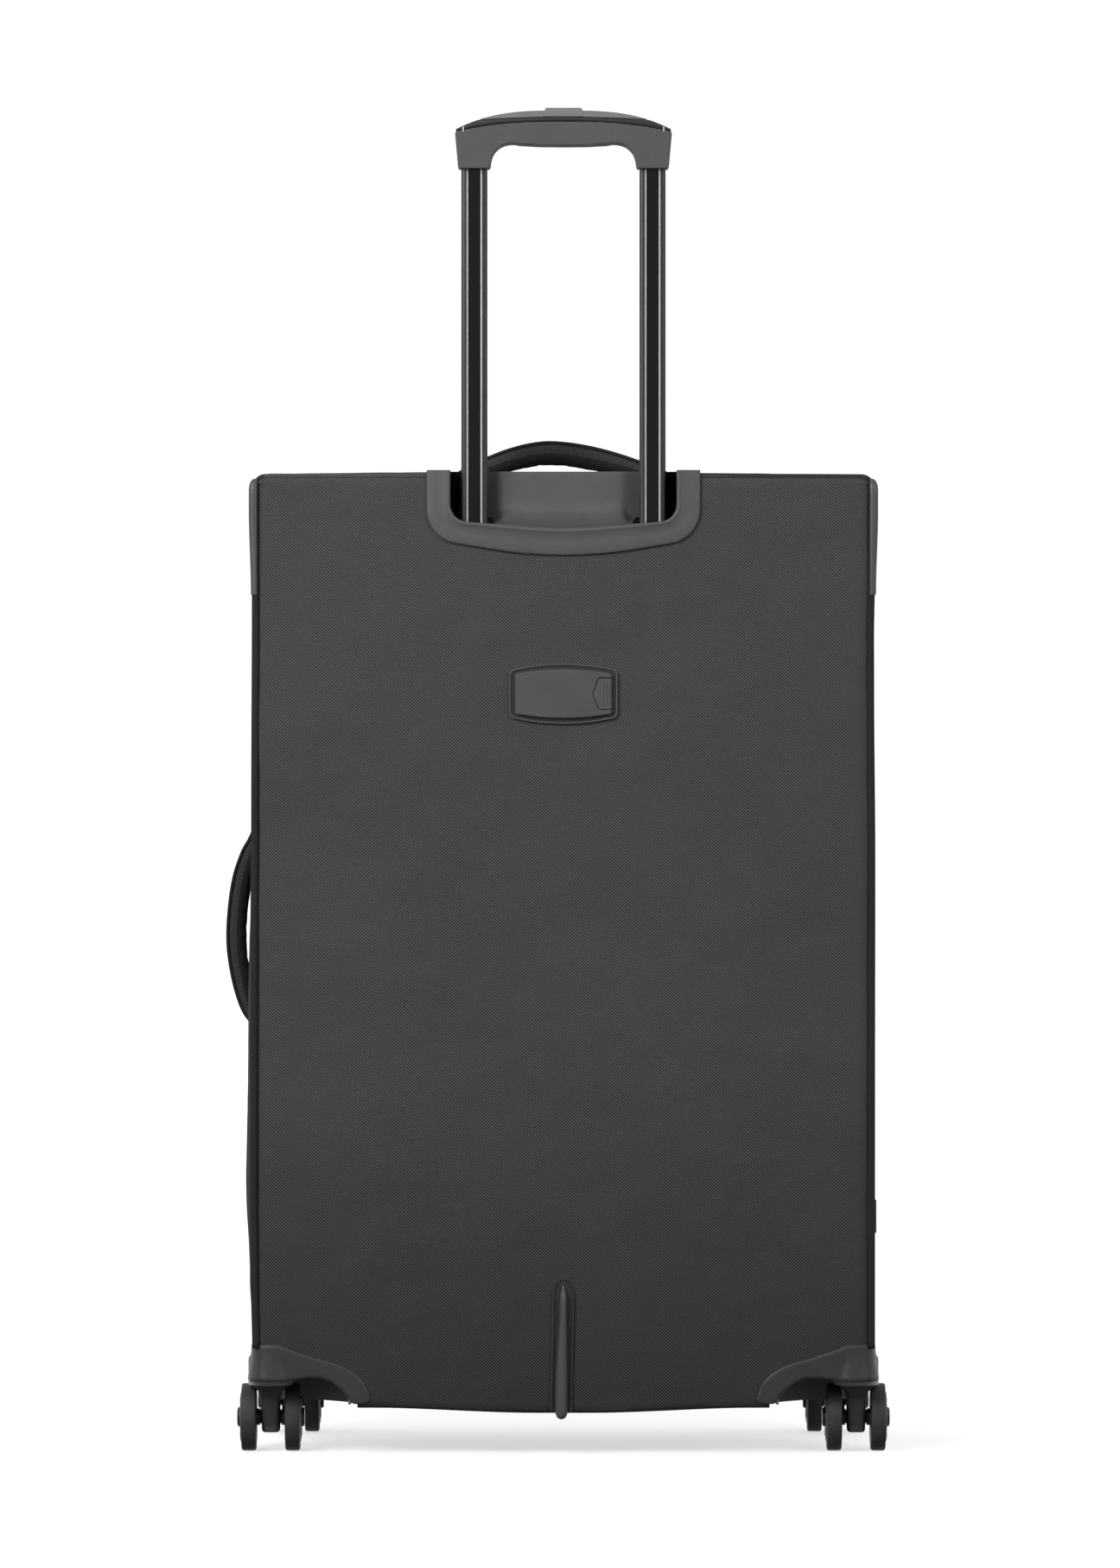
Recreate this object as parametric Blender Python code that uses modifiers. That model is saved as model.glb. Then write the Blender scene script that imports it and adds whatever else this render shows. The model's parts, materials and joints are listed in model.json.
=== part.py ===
"""A softside upright suitcase on four twin-wheel casters, with its telescopic handle pulled out.

Metres, +Z up. The back panel faces -Y. The origin is on the ground, under the middle of the case.
"""

import math

import bmesh
import bpy
from mathutils import Matrix, Vector

GAP = 0.0003  # between neighbours that touch

# The case: a fabric ring closed by a back panel, and a front section that grows and opens
CASE_HALF = 0.2435
CASE_BOTTOM = 0.041
CASE_TOP = 0.768
CASE_WALL = 0.005
CASE_ROUND = 0.010
BACK = -0.140
SHELL_FRONT = 0.0915
PANEL_HALF = 0.238
PANEL_THICK = 0.003

# The front section
FRONT_HALF = 0.2415
FRONT_BOTTOM = 0.0885
FRONT_TOP = 0.766
FRONT_WALL = 0.0035
ZIP_WIDE = 0.004
RING_DEEP = 0.020
LID_THICK = 0.008
POCKET_HALF = 0.205
POCKET_DEEP = 0.0145
GUSSET_HALF = 0.2375
GUSSET_BOTTOM = 0.0925
GUSSET_TOP = 0.7618
GUSSET_WALL = 0.0015
GUSSET_DEEP = 0.045
GUSSET_ROUND = 0.006

EXPANSION_ZIP_Y = SHELL_FRONT + GAP
RING_Y = EXPANSION_ZIP_Y + ZIP_WIDE + 0.0004
MAIN_ZIP_Y = RING_Y + RING_DEEP + GAP
LID_Y = MAIN_ZIP_Y + ZIP_WIDE + 0.0005
POCKET_Y = LID_Y + LID_THICK + GAP

# The telescopic handle
TUBE_X = 0.0698
TUBE_Y = -0.121
TUBE_WIDE, TUBE_DEEP = 0.0206, 0.014
SLEEVE_WIDE, SLEEVE_DEEP = 0.025, 0.0184
TUBE_SLACK = 0.0006
TUBE_LOW, TUBE_HIGH = 0.640, 1.0195
SLEEVE_LOW, SLEEVE_HIGH = 0.080, 0.7205
HANDLE_TRAVEL = 0.272
PIN_Z = 0.652
PIN_R = 0.003
ROD_R = 0.0015

# The grip
GRIP_DEEP = 0.028
GRIP_TOP = 1.0523
GRIP_DROP = 0.0147
GRIP_END = 1.007
GRIP_UNDER = 1.0254
YOKE_Z = 1.0345
BUTTON_HALF, BUTTON_DEEP = 0.0148, 0.0135
BUTTON_TOP = 1.0549
BUTTON_LOW = 1.0440
BUTTON_FLOOR = 1.0375

# The handle well
WELL_HALF = 0.107
WELL_TOP = 0.771
WELL_LOW = 0.704
WELL_OPEN_HALF = 0.0887
WELL_OPEN_LOW = 0.724
WELL_WALL = 0.003
WELL_BACK = -0.1035
FLANGE_THICK = 0.0027

# The casters
WHEEL_R = 0.0265
WHEEL_PITCH = 0.0345
TREAD_WIDE = 0.0121
AXLE_R = 0.0025
TRAIL = 0.015
REAR_X, REAR_Y = 0.2304, -0.108
FRONT_X, FRONT_Y = 0.220, 0.073
HOUSING_TOP = 0.0868
ARCH_TOP = 0.0607
ARCH_R = 0.0605
BOSS_R = 0.0174
BOSS_LOW = 0.0566
COLLAR_R = 0.0168
COLLAR_LOW = 0.0527
NECK_HALF = 0.0073
STEM_R = 0.005
STEM_TOP = 0.080
REAR_HOUSING_END = -0.040
FRONT_HOUSING_START = 0.0115
CORNERS = {
    "rear_left": (-REAR_X, REAR_Y),
    "rear_right": (REAR_X, REAR_Y),
    "front_left": (-FRONT_X, FRONT_Y),
    "front_right": (FRONT_X, FRONT_Y),
}

# The carry handles: a padded arch whose two webbing legs slide in slots of the case
HANDLE_Y = -0.022
HANDLE_WIDE = 0.032
LEG_THICK = 0.006
LEG_DEEP = 0.021
SLOT_SLACK = 0.0005
TOP_HANDLE_HALF, TOP_HANDLE_RISE, TOP_HANDLE_PAD = 0.086, 0.025, 0.018
SIDE_HANDLE_HALF, SIDE_HANDLE_RISE, SIDE_HANDLE_PAD = 0.074, 0.0213, 0.0147
SIDE_HANDLE_Z = 0.410

# The tag holder
TAG_Z = 0.596
TAG_HALF, TAG_MID, TAG_END = 0.0425, 0.0237, 0.0187
PLATE_HALF, PLATE_MID, PLATE_END = 0.0378, 0.0192, 0.0157
TAB_TIP, TAB_SHOULDER, TAB_RIGHT, TAB_HIGH = 0.0228, 0.0279, 0.0377, 0.0122
TAG_BASE, TAG_LIP, TAG_FACE = 0.0015, 0.0023, 0.0050
TRAY_LOW, TRAY_HIGH = 0.0027, 0.0038

# The zips' sliders on the right side, and the pockets (low, high)
SLIDER_LONG, SLIDER_WIDE, SLIDER_THICK = 0.014, 0.009, 0.006
PULL_LONG, PULL_WIDE, PULL_THICK = 0.026, 0.006, 0.003
MAIN_SLIDERS = {"upper": 0.635, "lower": 0.595}
EXPANSION_SLIDER_Z = 0.186
POCKETS = {"lower": (0.110, 0.470), "upper": (0.495, 0.735)}

COLOURS = {
    "ballistic_fabric": ((0.055, 0.055, 0.057), 0.85, 0.0),
    "lining_fabric": ((0.030, 0.030, 0.032), 0.90, 0.0),
    "webbing": ((0.045, 0.045, 0.047), 0.80, 0.0),
    "zip_tape": ((0.020, 0.020, 0.021), 0.75, 0.0),
    "moulded_plastic": ((0.075, 0.075, 0.077), 0.55, 0.0),
    "dark_plastic": ((0.030, 0.030, 0.031), 0.50, 0.0),
    "grip_cap_plastic": ((0.160, 0.160, 0.165), 0.45, 0.0),
    "tube_metal": ((0.050, 0.050, 0.053), 0.28, 0.9),
    "sleeve_metal": ((0.450, 0.450, 0.460), 0.40, 1.0),
    "steel": ((0.550, 0.550, 0.560), 0.30, 1.0),
    "tyre": ((0.045, 0.045, 0.047), 0.65, 0.0),
    "gunmetal": ((0.180, 0.180, 0.190), 0.35, 0.9),
}


# ---- Tools -------------------------------------------------------------------


def clear_scene():
    for item in list(bpy.data.objects):
        bpy.data.objects.remove(item, do_unlink=True)
    for group in list(bpy.data.collections):
        bpy.data.collections.remove(group)


def make_collection(name):
    group = bpy.data.collections.new(name)
    bpy.context.scene.collection.children.link(group)
    return group


def make_material(name):
    colour, roughness, metallic = COLOURS[name]
    made = bpy.data.materials.new(name)
    made.use_nodes = True
    shader = made.node_tree.nodes["Principled BSDF"]
    shader.inputs["Base Color"].default_value = (*colour, 1.0)
    shader.inputs["Roughness"].default_value = roughness
    shader.inputs["Metallic"].default_value = metallic
    made.diffuse_color = (*colour, 1.0)
    return made


clear_scene()
PARTS = make_collection("softside_upright_suitcase")
CUTTERS = make_collection("cutters")
MATERIALS = {name: make_material(name) for name in COLOURS}


def add(name, mesh, material):
    """A mesh as a sub-part, or as a cutter where it has no material."""
    made = bpy.data.objects.new(name, mesh)
    if material is None:
        CUTTERS.objects.link(made)
        made.hide_render = True
        made.display_type = "WIRE"
    else:
        PARTS.objects.link(made)
        mesh.materials.clear()
        mesh.materials.append(MATERIALS[material])
    return made


def box(name, low, high, material=None):
    shape = bmesh.new()
    bmesh.ops.create_cube(shape, size=1.0)
    size = Vector(high) - Vector(low)
    middle = (Vector(high) + Vector(low)) / 2
    bmesh.ops.scale(shape, vec=size, verts=shape.verts)
    bmesh.ops.translate(shape, vec=middle, verts=shape.verts)
    mesh = bpy.data.meshes.new(name)
    shape.to_mesh(mesh)
    shape.free()
    return add(name, mesh, material)


PLANES = {
    "XY": Matrix.Identity(4),
    "XZ": Matrix.Rotation(math.radians(90), 4, "X"),
    "YZ": Matrix(((0, 0, 1, 0), (1, 0, 0, 0), (0, 1, 0, 0), (0, 0, 0, 1))),
}


def prism(name, plane, outlines, start, end, material=None):
    """Closed outlines in a plane, filled between them, and as thick as from start to end across it."""
    curve = bpy.data.curves.new(name, "CURVE")
    curve.dimensions = "2D"
    curve.fill_mode = "BOTH"
    curve.extrude = (end - start) / 2
    for outline in outlines:
        spline = curve.splines.new("POLY")
        spline.points.add(len(outline) - 1)
        for point, (u, v) in zip(spline.points, outline):
            point.co = (u, v, 0, 1)
        spline.use_cyclic_u = True
    guide = bpy.data.objects.new(name + "_outline", curve)
    bpy.context.scene.collection.objects.link(guide)
    mesh = mesh_of(guide)
    across = (start + end) / 2
    shift = {"XY": (0, 0, across), "XZ": (0, across, 0), "YZ": (across, 0, 0)}[plane]
    mesh.transform(Matrix.Translation(shift) @ PLANES[plane])
    mesh.name = name
    return add(name, mesh, material)


def mesh_of(guide):
    """The mesh that a curve makes, with its caps welded on. The curve is removed."""
    bpy.context.view_layer.update()
    seen = guide.evaluated_get(bpy.context.evaluated_depsgraph_get())
    mesh = bpy.data.meshes.new_from_object(seen)
    mesh.transform(guide.matrix_world)
    bpy.data.objects.remove(guide, do_unlink=True)
    shape = bmesh.new()
    shape.from_mesh(mesh)
    bmesh.ops.remove_doubles(shape, verts=shape.verts, dist=1e-6)
    bmesh.ops.recalc_face_normals(shape, faces=shape.faces)
    shape.to_mesh(mesh)
    shape.free()
    return mesh


def wire(name, points, radius, material, resolution=1):
    """A round wire along the points, with its ends filled."""
    curve = bpy.data.curves.new(name, "CURVE")
    curve.dimensions = "3D"
    curve.bevel_depth = radius
    curve.bevel_resolution = resolution
    curve.use_fill_caps = True
    spline = curve.splines.new("POLY")
    spline.points.add(len(points) - 1)
    for point, place in zip(spline.points, points):
        point.co = (*place, 1)
    guide = bpy.data.objects.new(name + "_line", curve)
    bpy.context.scene.collection.objects.link(guide)
    return add(name, mesh_of(guide), material)


def turned(name, profile, steps, place, axis, material=None):
    """A profile of (radius, height), from the top down its outer side, turned about an axis at a place."""
    mesh = bpy.data.meshes.new(name)
    points = [(radius, 0, height) for radius, height in profile]
    mesh.from_pydata(points, [(i, i + 1) for i in range(len(points) - 1)], [])
    made = add(name, mesh, material)
    screw = made.modifiers.new("turn", "SCREW")
    screw.steps = steps
    screw.render_steps = steps
    screw.use_merge_vertices = True
    screw.merge_threshold = 0.00001
    screw.use_smooth_shade = True
    made.location = place
    made.rotation_euler = Vector(axis).to_track_quat("Z", "Y").to_euler()
    return made


def rod(name, radius, start, end, material=None, steps=20):
    """A plain cylinder from one point to another."""
    start, end = Vector(start), Vector(end)
    long = (end - start).length
    profile = [(0, long), (radius, long), (radius, 0), (0, 0)]
    return turned(name, profile, steps, start, end - start, material)


def combine(item, other, operation):
    change = item.modifiers.new(other.name, "BOOLEAN")
    change.operation = operation
    change.object = other
    change.solver = "EXACT"


def cut(item, *cutters):
    for cutter in cutters:
        combine(item, cutter, "DIFFERENCE")


def join(item, *others):
    for other in others:
        combine(item, other, "UNION")


def bevel(item, width, segments=2, angle=35):
    change = item.modifiers.new("bevel", "BEVEL")
    change.width = width
    change.segments = segments
    change.limit_method = "ANGLE"
    change.angle_limit = math.radians(angle)


def rounded(corners, steps=3):
    """An outline from corners (u, v, radius), each radius turned into an arc."""
    outline = []
    for i, corner in enumerate(corners):
        here = Vector(corner[:2])
        radius = corner[2] if len(corner) > 2 else 0
        if radius == 0:
            outline.append(tuple(here))
            continue
        back = (Vector(corners[i - 1][:2]) - here).normalized()
        ahead = (Vector(corners[(i + 1) % len(corners)][:2]) - here).normalized()
        half = math.acos(max(-1.0, min(1.0, back.dot(ahead)))) / 2
        middle = here + (back + ahead).normalized() * radius / math.sin(half)
        first = here + back * radius / math.tan(half) - middle
        last = here + ahead * radius / math.tan(half) - middle
        turn = first.angle_signed(last)
        for k in range(steps + 1):
            outline.append(tuple(middle + Matrix.Rotation(-turn * k / steps, 2) @ first))
    return outline


def rectangle(half, low, high, radius, steps=4):
    corners = [(half, high, radius), (half, low, radius), (-half, low, radius), (-half, high, radius)]
    return rounded(corners, steps)


def around(place, half_wide, half_deep, radius, steps=3):
    """A rounded rectangle about a place."""
    outline = rectangle(half_wide, -half_deep, half_deep, radius, steps)
    return [(u + place[0], v + place[1]) for u, v in outline]


def spread(start, end, count):
    return [start + (end - start) * i / (count - 1) for i in range(count)]


def flipped(corners, side):
    """Corners (x, z, radius) of a right-hand shape, for the side +1 or -1."""
    return [(side * x, z, radius) for x, z, radius in corners]


# ---- The case ----------------------------------------------------------------


def housing_cutter(name, x, low, high):
    """The space that a caster's housing takes from the fabric, a little larger than the housing."""
    side = math.copysign(1, x)
    shift = abs(x) - REAR_X
    more = 2 * GAP
    corners = [
        (0.270, HOUSING_TOP + more, 0),
        (0.2265 + shift, HOUSING_TOP + more, 0.030),
        (0.1700 + shift, 0.0665 + more, 0.020),
        (0.1530 + shift - more, 0.0450, 0.008),
        (0.1530 + shift - more, 0.0300, 0),
        (0.270, 0.0300, 0),
    ]
    return prism(name, "XZ", [rounded(flipped(corners, side))], low, high)


def make_shell():
    outer = rectangle(CASE_HALF, CASE_BOTTOM, CASE_TOP, CASE_ROUND)
    inner = rectangle(
        CASE_HALF - CASE_WALL, CASE_BOTTOM + CASE_WALL, CASE_TOP - CASE_WALL, CASE_ROUND - CASE_WALL
    )
    shell = prism("shell", "XZ", [outer, inner], BACK, SHELL_FRONT, "ballistic_fabric")
    cut(shell, *HOUSING_CUTTERS)
    notch = WELL_OPEN_HALF + WELL_WALL + 2 * GAP
    cut(shell, box("well_notch", (-notch, BACK - 0.01, 0.70), (notch, WELL_BACK + WELL_WALL + GAP, 0.80)))
    for side in (-1, 1):
        cut(shell, top_slot(side), side_slot(side))
    return shell


def top_slot(side):
    """The slot in the top for one leg of the top handle."""
    outer = TOP_HANDLE_HALF + SLOT_SLACK
    inner = TOP_HANDLE_HALF - LEG_THICK - SLOT_SLACK
    low, high = sorted((side * inner, side * outer))
    half = HANDLE_WIDE / 2 + SLOT_SLACK
    name = "top_slot_right" if side > 0 else "top_slot_left"
    return box(name, (low, HANDLE_Y - half, 0.745), (high, HANDLE_Y + half, 0.785))


def side_slot(side):
    """The slot in the left wall for one leg of the side handle."""
    outer = SIDE_HANDLE_Z + side * (SIDE_HANDLE_HALF + SLOT_SLACK)
    inner = SIDE_HANDLE_Z + side * (SIDE_HANDLE_HALF - LEG_THICK - SLOT_SLACK)
    low, high = sorted((inner, outer))
    half = HANDLE_WIDE / 2 + SLOT_SLACK
    name = "side_slot_upper" if side > 0 else "side_slot_lower"
    return box(name, (-0.262, HANDLE_Y - half, low), (-0.225, HANDLE_Y + half, high))


def make_back_panel():
    outline = rectangle(PANEL_HALF, CASE_BOTTOM + CASE_WALL + GAP, CASE_TOP - CASE_WALL - GAP, 0.0045)
    panel = prism("back_panel", "XZ", [outline], BACK, BACK + PANEL_THICK, "ballistic_fabric")
    notch = WELL_OPEN_HALF + WELL_WALL + GAP
    low = WELL_OPEN_LOW - WELL_WALL - 2 * GAP
    cut(panel, box("panel_notch", (-notch, BACK - 0.01, low), (notch, BACK + 0.01, 0.80)))
    cut(panel, *HOUSING_CUTTERS[:2])
    return panel


def make_bottom_tray():
    """The moulded tub inside the bottom, open at the top. Its front wall shows below the lid."""
    half, wall = 0.1420, 0.0025
    low, high = CASE_BOTTOM + CASE_WALL + GAP, 0.0870
    start = BACK + PANEL_THICK + GAP
    tray = box("bottom_tray", (-half, start, low), (half, SHELL_FRONT - GAP, high), "moulded_plastic")
    room_low = (-half + wall, start + wall, low + wall)
    room_high = (half - wall, SHELL_FRONT - GAP - wall, high + 0.01)
    cut(tray, box("tray_room", room_low, room_high))
    return tray


def make_back_lining():
    return box("back_lining", (-0.232, -0.1105, 0.112), (0.232, -0.1090, 0.697), "lining_fabric")


# ---- The front section --------------------------------------------------------


def make_ring(name, half, low, high, wall, start, end, material, radius=CASE_ROUND):
    outer = rectangle(half, low, high, radius)
    inner = rectangle(half - wall, low + wall, high - wall, radius - wall)
    return prism(name, "XZ", [outer, inner], start, end, material)


def make_front():
    size = (FRONT_HALF, FRONT_BOTTOM, FRONT_TOP, FRONT_WALL)
    make_ring("zip_expansion", *size, EXPANSION_ZIP_Y, EXPANSION_ZIP_Y + ZIP_WIDE, "zip_tape")
    make_ring("front_ring", *size, RING_Y, RING_Y + RING_DEEP, "ballistic_fabric")
    make_ring("zip_main", *size, MAIN_ZIP_Y, MAIN_ZIP_Y + ZIP_WIDE, "zip_tape")
    sleeve = (GUSSET_HALF, GUSSET_BOTTOM, GUSSET_TOP, GUSSET_WALL)
    make_ring("gusset", *sleeve, RING_Y - GUSSET_DEEP, RING_Y - GAP, "lining_fabric", GUSSET_ROUND)
    outline = rectangle(FRONT_HALF, FRONT_BOTTOM, FRONT_TOP, CASE_ROUND)
    lid = prism("lid", "XZ", [outline], LID_Y, LID_Y + LID_THICK, "ballistic_fabric")
    bevel(lid, 0.002, 1)
    for name, (low, high) in POCKETS.items():
        outline = rectangle(POCKET_HALF, low, high, 0.028, 5)
        face = POCKET_Y + POCKET_DEEP
        pocket = prism("pocket_" + name, "XZ", [outline], POCKET_Y, face, "ballistic_fabric")
        bevel(pocket, 0.004, 2)


# ---- The handle well ----------------------------------------------------------


def well_outline(half, low, high, sag, radius):
    """A flat-topped outline whose bottom bows down to low at its middle."""
    corners = [(half, high, 0), (half, low + sag, radius), (0, low, 0.35), (-half, low + sag, radius)]
    return rounded(corners + [(-half, high, 0)], 5)


def make_well():
    flange = well_outline(WELL_HALF, WELL_LOW, WELL_TOP, 0.0145, 0.021)
    opening = well_outline(WELL_OPEN_HALF, WELL_OPEN_LOW, WELL_TOP + 0.01, 0.0075, 0.014)
    channel = well_outline(
        WELL_OPEN_HALF + WELL_WALL, WELL_OPEN_LOW - WELL_WALL, WELL_TOP - 0.0005, 0.0075, 0.016
    )
    face = BACK - GAP
    end = WELL_BACK + WELL_WALL
    well = prism("handle_well", "XZ", [flange], face - FLANGE_THICK, face, "moulded_plastic")
    join(well, prism("well_channel", "XZ", [channel], face - 0.001, end))
    cut(well, prism("well_opening", "XZ", [opening], face - 0.01, WELL_BACK))
    for side in (-1, 1):
        hole = around((side * TUBE_X, TUBE_Y), TUBE_WIDE / 2 + TUBE_SLACK, TUBE_DEEP / 2 + TUBE_SLACK, 0.003)
        cut(well, prism(side_name("well_hole", side), "XY", [hole], 0.70, 0.76))
    return well


def side_name(name, side):
    return name + ("_right" if side > 0 else "_left")


# ---- The telescopic handle ------------------------------------------------------


def tube_outline(place, groove):
    """The drawn section of an inner tube: a rounded rectangle with two grooves along each broad face."""
    wide, deep, radius = TUBE_WIDE / 2, TUBE_DEEP / 2, 0.003
    notch = []
    for middle in (-0.0056, 0.0056):
        notch += [(middle - 0.0016, 0), (middle - 0.0007, groove)]
        notch += [(middle + 0.0007, groove), (middle + 0.0016, 0)]
    top = [(u, deep - v) for u, v in notch]
    corner_top = arc((wide - radius, deep - radius), radius, 90, 0)
    corner_low = arc((wide - radius, -deep + radius), radius, 0, -90)
    corner_left = arc((-wide + radius, -deep + radius), radius, -90, -180)
    corner_back = arc((-wide + radius, deep - radius), radius, 180, 90)
    low = [(u, -v) for u, v in reversed(top)]
    outline = top + corner_top + corner_low + low + corner_left + corner_back
    return [(u + place[0], v + place[1]) for u, v in outline]


def arc(middle, radius, start, end, steps=3):
    turns = [math.radians(angle) for angle in spread(start, end, steps + 1)]
    return [(middle[0] + radius * math.cos(t), middle[1] + radius * math.sin(t)) for t in turns]


def make_tubes(side):
    place = (side * TUBE_X, TUBE_Y)
    bore = around(place, TUBE_WIDE / 2 - 0.0016, TUBE_DEEP / 2 - 0.0018, 0.0015)
    section = [tube_outline(place, 0.0008), bore]
    tube = prism(side_name("inner_tube", side), "XY", section, TUBE_LOW, TUBE_HIGH, "tube_metal")
    outside = side * (TUBE_X + 0.004)
    beyond = side * (TUBE_X + 0.020)
    hole = ((outside, TUBE_Y, PIN_Z), (beyond, TUBE_Y, PIN_Z))
    cut(tube, rod(side_name("pin_hole", side), PIN_R + GAP, *hole))

    outer = around(place, SLEEVE_WIDE / 2, SLEEVE_DEEP / 2, 0.004)
    inner = around(place, TUBE_WIDE / 2 + TUBE_SLACK, TUBE_DEEP / 2 + TUBE_SLACK, 0.0034)
    name = side_name("outer_tube", side)
    sleeve = prism(name, "XY", [outer, inner], SLEEVE_LOW, SLEEVE_HIGH, "sleeve_metal")
    low, high = sorted((outside, beyond))
    half = PIN_R + 0.0005
    slot_low = (low, TUBE_Y - half, PIN_Z - HANDLE_TRAVEL - 0.004)
    slot_high = (high, TUBE_Y + half, PIN_Z + 0.004)
    cut(sleeve, box(side_name("pin_slot", side), slot_low, slot_high))

    pin_start = (side * (TUBE_X + 0.0055), TUBE_Y, PIN_Z)
    pin_end = (side * (TUBE_X + 0.0124), TUBE_Y, PIN_Z)
    rod(side_name("latch_pin", side), PIN_R, pin_start, pin_end, "steel", 16)


def make_tube_bracket():
    """The moulded foot that the outer tubes stand in."""
    half, deep = 0.092, 0.0125
    low, high = 0.0492, 0.1100
    corners = ((-half, TUBE_Y - deep, low), (half, TUBE_Y + deep, high))
    bracket = box("tube_bracket", *corners, "moulded_plastic")
    for side in (-1, 1):
        socket = around((side * TUBE_X, TUBE_Y), SLEEVE_WIDE / 2 + GAP, SLEEVE_DEEP / 2 + GAP, 0.004)
        cut(bracket, prism(side_name("socket", side), "XY", [socket], SLEEVE_LOW - GAP, 0.12))
    cut(bracket, box("bracket_relief", (-0.05, TUBE_Y - 0.02, 0.056), (0.05, TUBE_Y + 0.02, 0.104)))
    return bracket


def grip_top(x):
    return GRIP_TOP - GRIP_DROP * abs(x / 0.0845) ** 3


def cap_under(x):
    return 1.0476 - 0.0022 * (x / 0.0656) ** 2


def band_top(x):
    return min(cap_under(x), grip_top(x)) - GAP


def band_under(x):
    return 1.0442 - 0.0080 * abs(x / 0.0845) ** 2.5


def layer(name, upper, lower, half, material, deep):
    """A bowed strip of the grip, between two curves."""
    xs = spread(-half, half, 19)
    outline = [(x, upper(x)) for x in xs] + [(x, lower(x)) for x in reversed(xs)]
    return prism(name, "XZ", [outline], TUBE_Y - deep / 2, TUBE_Y + deep / 2, material)


def make_grip():
    under = band_under
    xs = spread(-0.0838, 0.0838, 19)
    top = [(x, under(x) - GAP) for x in xs]
    corners = [
        (0.0570, GRIP_END, 0),
        (0.0545, GRIP_UNDER, 0.012),
        (-0.0545, GRIP_UNDER, 0.012),
        (-0.0570, GRIP_END, 0),
    ]
    outline = top + [(0.0825, GRIP_END)] + rounded(corners, 4) + [(-0.0825, GRIP_END)]
    low, high = TUBE_Y - GRIP_DEEP / 2, TUBE_Y + GRIP_DEEP / 2
    grip = prism("grip_body", "XZ", [outline], low, high, "dark_plastic")
    bevel(grip, 0.003, 2, 50)
    for side in (-1, 1):
        place = (side * TUBE_X, TUBE_Y)
        socket = around(place, TUBE_WIDE / 2 + GAP, TUBE_DEEP / 2 + GAP, 0.003)
        shaft = around(place, 0.0034, 0.0034, 0)
        cut(grip, prism(side_name("leg_socket", side), "XY", [socket], GRIP_END - 0.01, TUBE_HIGH + GAP))
        cut(grip, prism(side_name("rod_shaft", side), "XY", [shaft], TUBE_HIGH - 0.001, YOKE_Z))
    slot_half = TUBE_X + 0.0024
    slot_low, slot_high = (-slot_half, TUBE_Y - 0.0022, 1.0278), (slot_half, TUBE_Y + 0.0022, 1.0366)
    cut(grip, box("yoke_slot", slot_low, slot_high))
    cut(grip, rod("stem_hole", 0.0034, (0, TUBE_Y, 1.0312), (0, TUBE_Y, 1.045)))
    cut(grip, BUTTON_WELL)

    band = layer("grip_band", band_top, band_under, 0.0845, "dark_plastic", 0.0275)
    cut(band, BUTTON_WELL)
    cap = layer("grip_cap", grip_top, cap_under, 0.0640, "grip_cap_plastic", 0.0265)
    cut(cap, BUTTON_WELL)


def make_button():
    low = (-BUTTON_HALF, TUBE_Y - BUTTON_DEEP / 2, BUTTON_LOW)
    high = (BUTTON_HALF, TUBE_Y + BUTTON_DEEP / 2, BUTTON_TOP)
    button = box("release_button", low, high, "moulded_plastic")
    bevel(button, 0.0015, 2)
    stem_low, stem_high = (0, TUBE_Y, YOKE_Z + ROD_R + GAP), (0, TUBE_Y, BUTTON_LOW + 0.002)
    join(button, rod("button_stem", 0.003, stem_low, stem_high))

    low_end = PIN_Z + 0.010
    bend = arc((-TUBE_X + 0.006, YOKE_Z - 0.006), 0.006, 180, 90)
    left = [(-TUBE_X, low_end)] + bend
    points = left + [(-x, z) for x, z in reversed(left)]
    wire("push_yoke", [(x, TUBE_Y, z) for x, z in points], ROD_R, "steel")

    turns, around_once, radius = 4, 8, 0.0050
    low, high = BUTTON_FLOOR + 0.0008, BUTTON_LOW - 0.0008
    coil = []
    for i in range(turns * around_once + 1):
        angle = 2 * math.pi * i / around_once
        z = low + (high - low) * i / (turns * around_once)
        coil.append((radius * math.cos(angle), TUBE_Y + radius * math.sin(angle), z))
    wire("button_spring", coil, 0.0004, "steel", 0)


# ---- The casters ------------------------------------------------------------------


def make_housing(name, x, y, low, high):
    """A moulded arch over a caster, with a boss for its stem and a wing along the case's bottom."""
    side = math.copysign(1, x)
    shift = abs(x) - REAR_X
    corners = [
        (0.2440 + shift, HOUSING_TOP, 0.002),
        (0.2265 + shift, HOUSING_TOP, 0.030),
        (0.1700 + shift, 0.0665, 0.020),
        (0.1530 + shift, 0.0450, 0.008),
        (0.1530 + shift, 0.0402, 0.0015),
        (0.1690 + shift, 0.0402, 0),
        (0.1755 + shift, ARCH_TOP, 0.014),
        (0.2475 + shift, ARCH_TOP, 0.001),
    ]
    housing = prism(name, "XZ", [rounded(flipped(corners, side))], low, high, "moulded_plastic")
    room = [
        (0.2410 + shift, 0.095, 0),
        (0.2400 + shift, 0.0640, 0),
        (0.1850 + shift, 0.0640, 0),
        (0.1850 + shift, 0.0665, 0),
        (0.2200 + shift, 0.0790, 0),
        (0.2200 + shift, 0.095, 0),
    ]
    cut(housing, prism(name + "_room", "XZ", [rounded(flipped(room, side))], low + 0.003, high - 0.003))
    post = [(0, 0.0842), (0.0105, 0.0842), (0.0115, 0.0655)]
    post += [(BOSS_R, 0.0627), (BOSS_R, BOSS_LOW), (0, BOSS_LOW)]
    join(housing, turned(name + "_post", post, 28, (x, y, 0), (0, 0, 1)))
    cut(housing, rod(name + "_arch", ARCH_R, (x, y, 0.02), (x, y, BOSS_LOW - 0.0001), None, 40))
    cut(housing, rod(name + "_bore", STEM_R + GAP, (x, y, 0.03), (x, y, STEM_TOP + GAP), None, 20))
    return housing


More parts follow.
